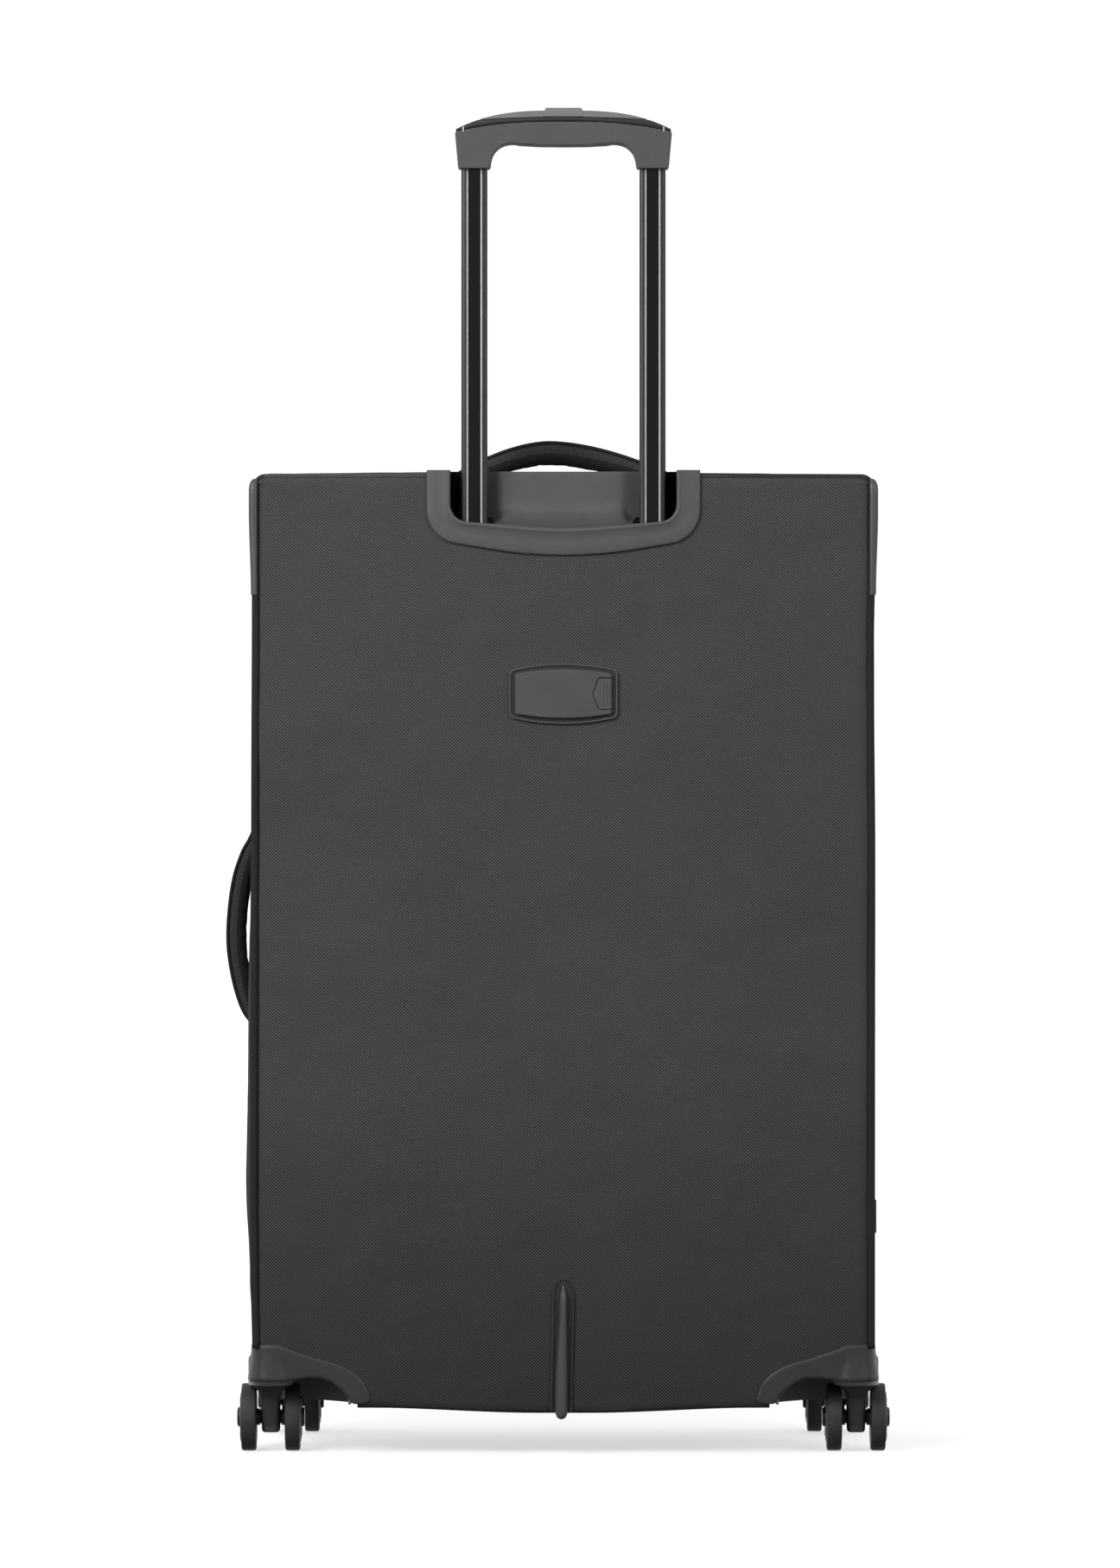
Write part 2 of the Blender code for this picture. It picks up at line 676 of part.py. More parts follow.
def make_fork(corner, x, y):
    profile = [
        (0, STEM_TOP),
        (STEM_R, STEM_TOP),
        (STEM_R, BOSS_LOW - GAP),
        (COLLAR_R, BOSS_LOW - GAP),
        (COLLAR_R, COLLAR_LOW + 0.001),
        (COLLAR_R - 0.002, COLLAR_LOW),
        (0, COLLAR_LOW),
    ]
    fork = turned("fork_" + corner, profile, 24, (x, y, 0), (0, 0, 1), "dark_plastic")
    side_view = rounded(
        [
            (y - 0.011, COLLAR_LOW + 0.0015, 0),
            (y + 0.0135, COLLAR_LOW + 0.0015, 0),
            (y + TRAIL + 0.0115, 0.0300, 0.008),
            (y + TRAIL + 0.0085, 0.0150, 0.006),
            (y + TRAIL - 0.0085, 0.0150, 0.006),
            (y + TRAIL - 0.0125, 0.0300, 0.008),
        ]
    )
    neck = prism("neck_" + corner, "YZ", [side_view], x - NECK_HALF, x + NECK_HALF)
    join(fork, neck)
    ends = ((x - 0.02, y + TRAIL, WHEEL_R), (x + 0.02, y + TRAIL, WHEEL_R))
    cut(fork, rod("axle_hole_" + corner, AXLE_R + GAP, *ends, None, 16))
    half = 0.0212
    ends = ((x - half, y + TRAIL, WHEEL_R), (x + half, y + TRAIL, WHEEL_R))
    rod("axle_" + corner, AXLE_R, *ends, "steel", 12)


def make_wheel(name, x, y, side):
    """A wheel with a domed hub cap on its outer face and a blind bore from its inner face."""
    inner = WHEEL_PITCH / 2 - TREAD_WIDE / 2
    outer = WHEEL_PITCH / 2 + TREAD_WIDE / 2
    profile = [
        (0, outer + 0.0034),
        (0.0077, outer + 0.0034),
        (0.0095, outer + 0.0022),
        (0.0190, outer + 0.0008),
        (0.0215, outer),
        (WHEEL_R - 0.001, outer),
        (WHEEL_R, outer - 0.001),
        (WHEEL_R, inner + 0.001),
        (WHEEL_R - 0.001, inner),
        (0.0085, inner),
        (0.0085, NECK_HALF + 0.0005),
        (AXLE_R + GAP, NECK_HALF + 0.0005),
        (AXLE_R + GAP, 0.0216),
        (0, 0.0216),
    ]
    return turned(name, profile, 20, (x, y + TRAIL, WHEEL_R), (side, 0, 0), "tyre")


def make_casters():
    for corner, (x, y) in CORNERS.items():
        low, high = (BACK - 0.0015, REAR_HOUSING_END) if y < 0 else (FRONT_HOUSING_START, SHELL_FRONT - GAP)
        make_housing("housing_" + corner, x, y, low, high)
        make_fork(corner, x, y)
        for side in (-1, 1):
            make_wheel(side_name("wheel_" + corner, side), x, y, side)


# ---- Trim: rail, guards, tag ------------------------------------------------------------


def make_skid():
    """The kick rail: a stitched flange with a tall rib that reaches below the case."""
    face = BACK - GAP
    right = [(0.0035, 0.1376, 0.002), (0.0085, 0.1270, 0.010), (0.0085, 0.0365, 0.001)]
    flange = rounded(right + flipped(reversed(right), -1))
    right = [(0.0024, 0.1340, 0.001), (0.0046, 0.0287, 0.0045)]
    rib = rounded(right + flipped(reversed(right), -1))
    skid = prism("kick_rail", "XZ", [flange], face - 0.0016, face, "moulded_plastic")
    join(skid, prism("rail_rib", "XZ", [rib], -0.148, face - 0.0008))


def make_guard(side):
    """An edge guard: an L in plan that wraps the case's upper back edge."""
    outer = side * 0.2464
    corner = side * (CASE_HALF + GAP)
    edge = side * 0.2380
    face = BACK - GAP
    plan = [
        (edge, face - 0.0022),
        (side * 0.2450, face - 0.0022),
        (outer, face - 0.0008),
        (outer, -0.1180),
        (corner, -0.1180),
        (corner, face),
        (edge, face),
    ]
    guard = prism(side_name("edge_guard", side), "XY", [plan], 0.672, 0.7565, "moulded_plastic")
    inside, outside = side * 0.2370, side * 0.2445
    taper = [(inside, 0.66), (inside, 0.715), (outside, 0.6718), (outside, 0.66)]
    cut(guard, prism(side_name("guard_taper", side), "XZ", [taper], face - 0.01, face + 0.0001))
    bevel(guard, 0.0006, 1)


def bowed(half, mid, end, radius, count=7):
    """An outline about the tag's middle whose top and bottom bow outwards."""
    inner = spread(-half * 0.75, half * 0.75, count)
    top = [(x, mid - (mid - end) * (x / half) ** 2, 0) for x in inner]
    corners = top + [(half, end, radius), (half, -end, radius)]
    corners += [(x, -z, 0) for x, z, _ in reversed(top)] + [(-half, -end, radius), (-half, end, radius)]
    return [(x, z + TAG_Z) for x, z in rounded(corners)]


def tab_outline(margin):
    tip, shoulder, right, high = TAB_TIP + margin, TAB_SHOULDER + margin, TAB_RIGHT, TAB_HIGH - margin
    corners = [(tip, 0), (shoulder, high), (right, high), (right, -high), (shoulder, -high)]
    return [(x, z + TAG_Z) for x, z in corners]


def make_tag():
    face = BACK - GAP
    outside = bowed(TAG_HALF, TAG_MID, TAG_END, 0.005)
    groove = bowed(TAG_HALF - 0.001, TAG_MID - 0.001, TAG_END - 0.001, 0.0042)
    plate = bowed(PLATE_HALF, PLATE_MID, PLATE_END, 0.002)
    frame = prism("tag_frame", "XZ", [outside], face - TAG_LIP, face, "moulded_plastic")
    cut(frame, prism("tag_groove", "XZ", [groove], face - 0.01, face - TAG_BASE))
    join(frame, prism("tag_plate", "XZ", [plate], face - TAG_FACE, face - 0.0010))
    low = (-0.0340, face - TRAY_HIGH - GAP, TAG_Z - 0.0131)
    cut(frame, box("tag_pocket", low, (0.0600, face - TRAY_LOW + GAP, TAG_Z + 0.0131)))
    cut(frame, prism("tag_window", "XZ", [window_outline()], face - 0.01, face - TRAY_LOW))

    tray = box(
        "tag_tray",
        (-0.0335, face - TRAY_HIGH, TAG_Z - 0.0127),
        (TAB_RIGHT, face - TRAY_LOW, TAG_Z + 0.0127),
        "moulded_plastic",
    )
    join(tray, prism("tray_tab", "XZ", [tab_outline(0.0002)], face - TAG_FACE, face - TRAY_LOW - 0.0005))
    for x in (0.0300, 0.0325, 0.0350):
        low = (x, face - TAG_FACE - 0.001, TAG_Z - 0.0095)
        cut(tray, box(f"tab_groove_{x:.4f}", low, (x + 0.0009, face - TAG_FACE + 0.0005, TAG_Z + 0.0095)))


def window_outline():
    """The arrow-shaped window in the plate, open to the right."""
    tip, shoulder, high = TAB_TIP - 0.0002, TAB_SHOULDER - 0.0002, TAB_HIGH + 0.0002
    corners = [(tip, 0), (shoulder, high), (0.06, high), (0.06, -high), (shoulder, -high)]
    return [(x, z + TAG_Z) for x, z in corners]


# ---- Carry handles ---------------------------------------------------------------------


def arch_outline(half, rise, pad):
    """A padded arch (along, out) over a flat wall at 0, with two legs that go through the wall."""
    inner_half = half - LEG_THICK
    outer = [(u, rise * (1 - abs(u / half) ** 3.2)) for u in spread(half, -half, 17)]
    under = rise - pad
    inner = [(u, under * (1 - (u / inner_half) ** 4)) for u in spread(-inner_half, inner_half, 13)]
    right_leg = [(inner_half, -LEG_DEEP), (half, -LEG_DEEP)]
    left_leg = [(-half, -LEG_DEEP), (-inner_half, -LEG_DEEP)]
    return outer + left_leg + inner + right_leg


def make_handles():
    low, high = HANDLE_Y - HANDLE_WIDE / 2, HANDLE_Y + HANDLE_WIDE / 2
    top = arch_outline(TOP_HANDLE_HALF, TOP_HANDLE_RISE, TOP_HANDLE_PAD)
    top = [(u, v + CASE_TOP + GAP) for u, v in top]
    prism("top_handle", "XZ", [top], low, high, "webbing")
    side = arch_outline(SIDE_HANDLE_HALF, SIDE_HANDLE_RISE, SIDE_HANDLE_PAD)
    side = [(-CASE_HALF - GAP - v, u + SIDE_HANDLE_Z) for u, v in side]
    prism("side_handle", "XZ", [side], low, high, "webbing")


# ---- Zip sliders -------------------------------------------------------------------------


def make_slider(name, inner, y, z):
    """A slider on the right side's zip, with its inner face at x = inner, and the pull on its bridge."""
    outer = inner + SLIDER_THICK
    half_y, half_z = SLIDER_WIDE / 2, SLIDER_LONG / 2
    low, high = (inner, y - half_y, z - half_z), (outer, y + half_y, z + half_z)
    slider = box("slider_" + name, low, high, "gunmetal")
    bevel(slider, 0.0012, 1)
    notch_low, notch_high = (outer - 0.003, y - 0.02, z - 0.0035), (outer + 0.01, y + 0.02, z + 0.0035)
    cut(slider, box("slider_notch_" + name, notch_low, notch_high))
    half = PULL_WIDE / 2
    top, foot = z + 0.0008, z - PULL_LONG
    corners = [(y - half, top, 0.0005), (y + half, top, 0.0005)]
    corners += [(y + half + 0.001, foot, 0.002), (y - half - 0.001, foot, 0.002)]
    start = outer + GAP
    pull = prism("pull_" + name, "YZ", [rounded(corners)], start, start + PULL_THICK, "gunmetal")
    bevel(pull, 0.0003, 1)
    lug_half = half - 0.0005
    lug_low, lug_high = (outer - 0.0012, y - lug_half, z - 0.0010), (outer + 0.001, y + lug_half, z + 0.0005)
    join(pull, box("pull_lug_" + name, lug_low, lug_high))


def make_pocket_slider(name, z):
    """A pocket's slider with its pull, on the pocket's front near its top."""
    x = -0.172
    inner = POCKET_Y + POCKET_DEEP + GAP
    low, high = (x - 0.006, inner, z - 0.004), (x + 0.006, inner + 0.0035, z + 0.004)
    body = box("slider_pocket_" + name, low, high, "gunmetal")
    low, high = (x - 0.003, inner + 0.0008, z - PULL_LONG), (x + 0.003, inner + 0.003, z)
    join(body, box("pocket_pull_" + name, low, high))


def make_sliders():
    for name, z in MAIN_SLIDERS.items():
        make_slider("main_" + name, FRONT_HALF + GAP, MAIN_ZIP_Y + ZIP_WIDE / 2, z)
    make_slider("expansion", CASE_HALF + GAP, EXPANSION_ZIP_Y + ZIP_WIDE / 2, EXPANSION_SLIDER_Z)
    for name, (_, high) in POCKETS.items():
        make_pocket_slider(name, high - 0.018)


# ---- The whole ---------------------------------------------------------------------------

HOUSING_CUTTERS = [
    housing_cutter(
        "room_" + corner,
        x,
        BACK - 0.01 if y < 0 else FRONT_HOUSING_START - GAP,
        REAR_HOUSING_END + GAP if y < 0 else SHELL_FRONT + 0.01,
    )
    for corner, (x, y) in CORNERS.items()
]
BUTTON_WELL = box(
    "button_well",
    (-BUTTON_HALF - GAP, TUBE_Y - BUTTON_DEEP / 2 - GAP, BUTTON_FLOOR),
    (BUTTON_HALF + GAP, TUBE_Y + BUTTON_DEEP / 2 + GAP, 1.07),
)

make_shell()
make_back_panel()
make_bottom_tray()
make_back_lining()
make_front()
make_well()
for hand in (-1, 1):
    make_tubes(hand)
    make_guard(hand)
make_tube_bracket()
make_grip()
make_button()
make_casters()
make_skid()
make_tag()
make_handles()
make_sliders()
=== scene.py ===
import json
import math

import bmesh
import bpy
import numpy as np
from mathutils import Matrix, Vector, noise

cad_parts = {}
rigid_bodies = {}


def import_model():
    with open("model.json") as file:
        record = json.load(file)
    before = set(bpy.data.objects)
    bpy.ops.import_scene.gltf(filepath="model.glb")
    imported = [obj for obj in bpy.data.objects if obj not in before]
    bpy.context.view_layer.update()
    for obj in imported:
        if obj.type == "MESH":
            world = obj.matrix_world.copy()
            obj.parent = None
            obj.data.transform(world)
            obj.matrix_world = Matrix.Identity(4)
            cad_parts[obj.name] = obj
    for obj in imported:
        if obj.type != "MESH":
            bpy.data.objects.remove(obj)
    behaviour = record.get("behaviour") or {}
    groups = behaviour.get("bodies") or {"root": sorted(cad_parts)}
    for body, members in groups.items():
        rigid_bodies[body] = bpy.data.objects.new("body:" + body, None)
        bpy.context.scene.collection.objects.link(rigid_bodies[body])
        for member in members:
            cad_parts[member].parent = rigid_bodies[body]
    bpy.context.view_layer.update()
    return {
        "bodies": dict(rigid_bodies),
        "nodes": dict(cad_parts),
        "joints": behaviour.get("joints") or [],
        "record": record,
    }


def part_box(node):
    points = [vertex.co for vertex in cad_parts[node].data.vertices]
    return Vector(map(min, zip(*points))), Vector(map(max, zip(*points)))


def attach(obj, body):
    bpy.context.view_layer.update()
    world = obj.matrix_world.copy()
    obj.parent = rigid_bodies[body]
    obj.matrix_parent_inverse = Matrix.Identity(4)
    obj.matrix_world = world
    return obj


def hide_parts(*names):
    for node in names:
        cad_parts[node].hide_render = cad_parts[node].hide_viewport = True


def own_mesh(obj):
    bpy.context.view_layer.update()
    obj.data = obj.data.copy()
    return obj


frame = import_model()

# The looks of a softside suitcase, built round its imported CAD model. Metres, +Z up, the back panel faces -Y.

RECORD = frame["record"]
NODES = frame["nodes"]
SHELL_LOW, SHELL_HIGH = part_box("shell")
RING_LOW, RING_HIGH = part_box("front_ring")
LID_LOW, LID_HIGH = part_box("lid")
TUBE_LOW, TUBE_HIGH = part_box("inner_tube_right")
BACK = SHELL_LOW.y
HALF = SHELL_HIGH.x
TUBE_X = (TUBE_LOW.x + TUBE_HIGH.x) / 2
TUBE_Y = (TUBE_LOW.y + TUBE_HIGH.y) / 2


# ---- Node trees ------------------------------------------------------------------------


def node(tree, kind, inputs=None, **settings):
    """A new shader node's outputs. An input is a value, or another node's output."""
    made = tree.nodes.new("ShaderNode" + kind)
    for key, value in settings.items():
        setattr(made, key, value)
    for key, value in (inputs or {}).items():
        if isinstance(value, bpy.types.NodeSocket):
            tree.links.new(value, made.inputs[key])
        else:
            made.inputs[key].default_value = value
    return made.outputs


def maths(tree, operation, first, second=0.0, third=0.0):
    return node(tree, "Math", {0: first, 1: second, 2: third}, operation=operation)[0]


def grey(value, warmth=0.0):
    return (value * (1 + warmth), value, value * (1 - warmth), 1)


def new_material(name, **values):
    """A material and its shader. The values are sockets that are the same all over, by name."""
    made = bpy.data.materials.new(name)
    made.use_nodes = True
    shader = made.node_tree.nodes["Principled BSDF"]
    for key, value in values.items():
        shader.inputs[key.replace("_", " ")].default_value = value
    return made, made.node_tree, shader


def ramp(tree, factor, low, high, from_low=0.0, from_high=1.0):
    """A number mapped from one range to another, held at the ends."""
    inputs = {0: factor, 1: from_low, 2: from_high, 3: low, 4: high}
    return node(tree, "MapRange", inputs, clamp=True)[0]


def mixed(tree, factor, first, second):
    """A colour between two colours."""
    inputs = {"Factor": factor, 6: first, 7: second}
    return node(tree, "Mix", inputs, data_type="RGBA", clamp_factor=True)[2]


def speckle(tree, scale, detail=2.0, vector=None):
    inputs = {"Scale": scale, "Detail": detail, "Roughness": 0.6}
    place = vector or node(tree, "TexCoord")["Object"]
    inputs["Vector"] = place
    return node(tree, "TexNoise", inputs)["Fac"]


def set_bump(tree, shader, height, distance, strength=1.0):
    inputs = {"Strength": strength, "Distance": distance, "Height": height}
    tree.links.new(node(tree, "Bump", inputs)["Normal"], shader.inputs["Normal"])


def woven(name, across, along, dark, light, slant=0.0, relief=0.00022, fray=0.10, unwrapped=True, foot=1.0, **values):
    """A plain or basket weave: raised warp crossings in a diagonal lattice, with uneven yarn.

    across and along are the distances between crossings; slant makes one diagonal the stronger.
    The cloth attribute holds each point's place on the flat cloth, in metres. Cloth that isn't unwrapped
    is placed by its own coordinates. foot is the colour factor at the ground: below 1 the colour is darkened towards
    the bottom as painted shade.
    """
    settings = {"Roughness": 0.82, "Sheen_Weight": 0.12, "Sheen_Roughness": 0.45, "Specular_IOR_Level": 0.28}
    made, tree, shader = new_material(name, **{**settings, **values})
    solid = node(tree, "TexCoord")["Object"]
    solid_parts = node(tree, "SeparateXYZ", {0: solid})
    if unwrapped:
        place = node(tree, "Attribute", attribute_name="cloth")["Vector"]
    else:
        first = maths(tree, "ADD", solid_parts[0], solid_parts[2])
        second = maths(tree, "ADD", solid_parts[1], maths(tree, "SUBTRACT", solid_parts[0], solid_parts[2]))
        place = node(tree, "CombineXYZ", {0: first, 1: second})[0]
    parts = node(tree, "SeparateXYZ", {0: place})
    u = maths(tree, "MULTIPLY", parts[0], 2 * math.pi / across)
    v = maths(tree, "MULTIPLY", parts[1], 2 * math.pi / along)
    falling = maths(tree, "COSINE", maths(tree, "ADD", u, v))
    rising = maths(tree, "COSINE", maths(tree, "SUBTRACT", u, v))
    lattice = maths(
        tree, "MULTIPLY_ADD", falling, 0.25 + slant, maths(tree, "MULTIPLY_ADD", rising, 0.25 - slant, 0.5)
    )
    yarn = speckle(tree, 900.0, 2.0, place)
    broad = speckle(tree, 9.0, 3.0)
    raised = maths(tree, "MULTIPLY_ADD", yarn, 0.5, maths(tree, "MULTIPLY", lattice, 0.75))
    tone = maths(tree, "MULTIPLY_ADD", broad, fray, raised)
    weave = ramp(tree, tone, 0.0, 1.0, 0.28, 1.02)
    # Painted shade: the weave's colour is darkened towards the bottom, from foot at z 0.035 m up to full colour at 0.30
    # m.
    if foot < 1:
        weave = maths(tree, "MULTIPLY", weave, ramp(tree, solid_parts[2], foot, 1.0, 0.035, 0.300))
    colour = mixed(tree, weave, dark, light)
    tree.links.new(colour, shader.inputs["Base Color"])
    tree.links.new(ramp(tree, raised, 0.92, 0.70), shader.inputs["Roughness"])
    set_bump(tree, shader, raised, relief)
    return made


def moulded(name, colour, edge, grain=1500.0, relief=0.00006, rough=(0.42, 0.58), **values):
    """Grained plastic: fine pits, faint flow marks, rubbed lighter on its proud edges."""
    made, tree, shader = new_material(name, **values)
    pits = speckle(tree, grain, 2.0)
    flow = speckle(tree, 28.0, 3.0)
    tone = maths(tree, "MULTIPLY_ADD", flow, 0.35, maths(tree, "MULTIPLY", pits, 0.65))
    colour_now = mixed(tree, ramp(tree, tone, 0.0, 1.0, 0.30, 0.70), grey(colour * 0.82), grey(colour * 1.18))
    worn = ramp(tree, node(tree, "NewGeometry")["Pointiness"], 0.0, 0.65, 0.53, 0.62)
    tree.links.new(mixed(tree, worn, colour_now, grey(edge)), shader.inputs["Base Color"])
    tree.links.new(ramp(tree, tone, rough[0], rough[1], 0.3, 0.7), shader.inputs["Roughness"])
    set_bump(tree, shader, pits, relief)
    return made


def metal(name, colour, rough, stretch, relief=0.00001, **values):
    """Drawn or plated metal: fine lines along one axis and slight smears in its gloss."""
    made, tree, shader = new_material(name, **values)
    place = node(tree, "TexCoord")["Object"]
    scaled = node(tree, "Mapping", {"Vector": place, "Scale": stretch})[0]
    lines = node(tree, "TexNoise", {"Vector": scaled, "Scale": 1.0, "Detail": 3.0})["Fac"]
    smear = speckle(tree, 40.0, 3.0)
    both = maths(tree, "MULTIPLY_ADD", smear, 0.5, maths(tree, "MULTIPLY", lines, 0.5))
    colour_now = mixed(tree, both, grey(colour * 0.85), grey(colour * 1.12))
    tree.links.new(colour_now, shader.inputs["Base Color"])
    tree.links.new(ramp(tree, both, rough[0], rough[1], 0.3, 0.7), shader.inputs["Roughness"])
    set_bump(tree, shader, lines, relief)
    return made


def rubber(name, colour):
    """Hard tread: matt, scuffed on the rolling face, with dust in its pits."""
    made, tree, shader = new_material(name, Specular_IOR_Level=0.4)
    pits = speckle(tree, 1100.0, 3.0)
    scuffs = speckle(tree, 160.0, 4.0)
    dust = ramp(tree, scuffs, 0.0, 0.5, 0.50, 0.72)
    shade = mixed(tree, pits, grey(colour * 0.85), grey(colour * 1.15))
    tree.links.new(mixed(tree, dust, shade, grey(colour * 1.7)), shader.inputs["Base Color"])
    tree.links.new(ramp(tree, scuffs, 0.45, 0.70, 0.3, 0.7), shader.inputs["Roughness"])
    set_bump(tree, shader, pits, 0.00005)
    return made


# FABRIC and SIDE_FABRIC take foot below 1, so their colour is darkened towards the bottom as painted shade.
FABRIC = woven("ballistic_cloth", 0.0026, 0.0024, grey(0.007), grey(0.150), slant=0.07, foot=0.55)
DULL = {"Specular_IOR_Level": 0.08, "Sheen_Weight": 0.02}
SIDE_FABRIC = woven("side_cloth", 0.0026, 0.0024, grey(0.006), grey(0.085), slant=0.07, foot=0.7, **DULL)
PIPING = woven("piping_cloth", 0.0020, 0.0016, grey(0.006), grey(0.072), slant=0.12, **DULL)
SOLID_LINING = woven("board_lining", 0.0016, 0.0016, grey(0.022), grey(0.085), relief=0.00005, unwrapped=False)
LINING = woven("lining_cloth", 0.0008, 0.0008, grey(0.018), grey(0.060), relief=0.00005)
BAND = woven("handle_band", 0.0022, 0.0018, grey(0.010), grey(0.100), slant=0.10, relief=0.00025)
SOFT_LINING = woven("handle_lining", 0.0009, 0.0009, grey(0.010), grey(0.030), relief=0.00006)
TAPE = woven("zip_tape_cloth", 0.0012, 0.0009, grey(0.008), grey(0.035), slant=0.18, relief=0.0001)
THREAD = woven("thread", 0.0009, 0.0006, grey(0.012), grey(0.060), slant=0.2, relief=0.00008)
COIL = moulded("zip_coil", 0.020, 0.05, rough=(0.30, 0.42))
HOUSING = moulded("housing_plastic", 0.060, 0.12, rough=(0.36, 0.50))
BEZEL = moulded("bezel_plastic", 0.125, 0.17, rough=(0.46, 0.60))
CUP = moulded("cup_plastic", 0.125, 0.17, rough=(0.46, 0.60))
# Painted shade: near-black put in the well's deep corners and round the tube sockets, where shade falls.
PAINTED_SHADE_BLACK = moulded("painted_shade_black", 0.004, 0.008, rough=(0.6, 0.8), Specular_IOR_Level=0.1)
RECESS = moulded("recess_plastic", 0.165, 0.20, rough=(0.6, 0.8), Specular_IOR_Level=0.2)
TAG = moulded("tag_plastic", 0.105, 0.15, rough=(0.42, 0.56))
RAIL = moulded("rail_plastic", 0.045, 0.085, rough=(0.42, 0.56))
GUARD = moulded("guard_plastic", 0.105, 0.15, rough=(0.34, 0.46), grain=2500.0, relief=0.00002)
GRIP = moulded("grip_plastic", 0.110, 0.16, grain=1100.0, relief=0.00012, rough=(0.48, 0.64))
GRIP_DARK = moulded("grip_band_plastic", 0.040, 0.07, rough=(0.40, 0.52))
GRIP_CAP = moulded("grip_cap_plastic_fine", 0.260, 0.32, grain=2500.0, relief=0.00002, rough=(0.36, 0.46))
FORK = moulded("fork_plastic", 0.085, 0.13, rough=(0.42, 0.55))
COLLAR_RING = moulded("collar_ring_plastic", 0.42, 0.50, rough=(0.34, 0.46))
INNER = moulded("inner_plastic", 0.030, 0.06)
TREAD = rubber("tread", 0.062)
HUB = moulded("hub_plastic", 0.050, 0.12, rough=(0.22, 0.34), grain=2500.0, relief=0.00001)
TUBE = metal("black_tube", 0.019, (0.10, 0.20), (900, 900, 6), Metallic=0.55, Coat_Weight=0.6, Coat_Roughness=0.08)
# Painted reflection: a lighter grey on the tubes' side faces and outer strips, standing in for the lighter reflection
# on faces that turn away.
TUBE_SIDE_PAINTED_REFLECTION = metal("tube_side_painted_reflection", 0.057, (0.30, 0.42), (900, 900, 6), Metallic=0.25)
# Painted highlight: a near-white colour on the tubes' groove walls and the grip band's ends, standing in for bright
# reflections.
PAINTED_HIGHLIGHT = metal("painted_highlight_line", 0.85, (0.20, 0.30), (900, 900, 6), Metallic=0.15)
SLEEVE = metal("aluminium_sleeve", 0.45, (0.30, 0.45), (1500, 1500, 8), Metallic=1.0)
STEEL = metal("drawn_steel", 0.50, (0.22, 0.36), (1500, 40, 1500), Metallic=1.0)
GUNMETAL = metal("plated_gunmetal", 0.16, (0.24, 0.40), (1200, 1200, 60), Metallic=0.9)


# ---- Mesh tools ------------------------------------------------------------------------


def make(name, points, faces, *materials):
    mesh = bpy.data.meshes.new(name)
    mesh.from_pydata([tuple(p) for p in points], [], faces)
    for material in materials:
        mesh.materials.append(material)
    made = bpy.data.objects.new(name, mesh)
    bpy.context.scene.collection.objects.link(made)
    mesh.shade_smooth()
    return made


def cleaned(item, angle=None):
    """Faces turned outwards, doubled points joined and, above an angle, edges kept sharp."""
    shape = bmesh.new()
    shape.from_mesh(item.data)
    bmesh.ops.remove_doubles(shape, verts=shape.verts, dist=1e-6)
    bmesh.ops.recalc_face_normals(shape, faces=shape.faces)
    shape.to_mesh(item.data)
    shape.free()
    item.data.shade_smooth()
    if angle is not None:
        item.data.set_sharp_from_angle(angle=math.radians(angle))
    return item


def applied(item):
    """The item with its modifiers made part of its mesh."""
    graph = bpy.context.evaluated_depsgraph_get()
    mesh = bpy.data.meshes.new_from_object(item.evaluated_get(graph), preserve_all_data_layers=True, depsgraph=graph)
    item.modifiers.clear()
    item.data = mesh
    return item


def modify(item, kind, **settings):
    change = item.modifiers.new(kind.lower(), kind)
    for key, value in settings.items():
        setattr(change, key, value)
    return change


def set_cloth(item, places):
    """Each point's place on the flat cloth, which the weaves read."""
    attribute = item.data.attributes.new("cloth", "FLOAT_VECTOR", "POINT")
    flat = np.zeros((len(item.data.vertices), 3), np.float32)
    flat[:, :2] = np.array(places, np.float32)[:, :2]
    attribute.data.foreach_set("vector", flat.ravel())
    return item


def cloth_from_shape(item):
    """The flat cloth's places read along the two axes that each point faces least."""
    places = []
    for vertex in item.data.vertices:
        x, y, z = vertex.co
        facing = [abs(part) for part in vertex.normal]
        if facing[1] >= max(facing[0], facing[2]):
            places.append((x, z))
        elif facing[0] >= facing[2]:
            places.append((y, z))
        else:
            places.append((x, y))
    return set_cloth(item, places)


def put(item, body, slot, *nodes):
    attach(item, body)
    if nodes:
        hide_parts(*nodes)
    return item


def loft(name, rows, material, closed=False, ends=False, around=False):
    """A skin over rows of points. closed joins each row's ends, around the last row to the first."""
    count = len(rows[0])
    points = [p for row in rows for p in row]
    faces = []
    for i in range(len(rows) - (0 if around else 1)):
        for j in range(count - (0 if closed else 1)):
            a, b = i * count + j, i * count + (j + 1) % count
            c, d = (i + 1) % len(rows) * count + (j + 1) % count, (i + 1) % len(rows) * count + j
            faces.append((a, b, c, d))
    if ends:
        faces.append(tuple(range(count)))
        faces.append(tuple((len(rows) - 1) * count + j for j in reversed(range(count))))
    return make(name, points, faces, material)


def smoothstep(low, high, value):
    t = max(0.0, min(1.0, (value - low) / (high - low)))
    return t * t * (3 - 2 * t)


def spread(start, end, count):
    return [start + (end - start) * i / (count - 1) for i in range(count)]


def between(places, at):
    """A smooth curve's value at a place, through (place, value) pairs."""
    for (a, low), (b, high) in zip(places, places[1:]):
        if at <= b:
            return low + (high - low) * smoothstep(a, b, at)
    return places[-1][1]


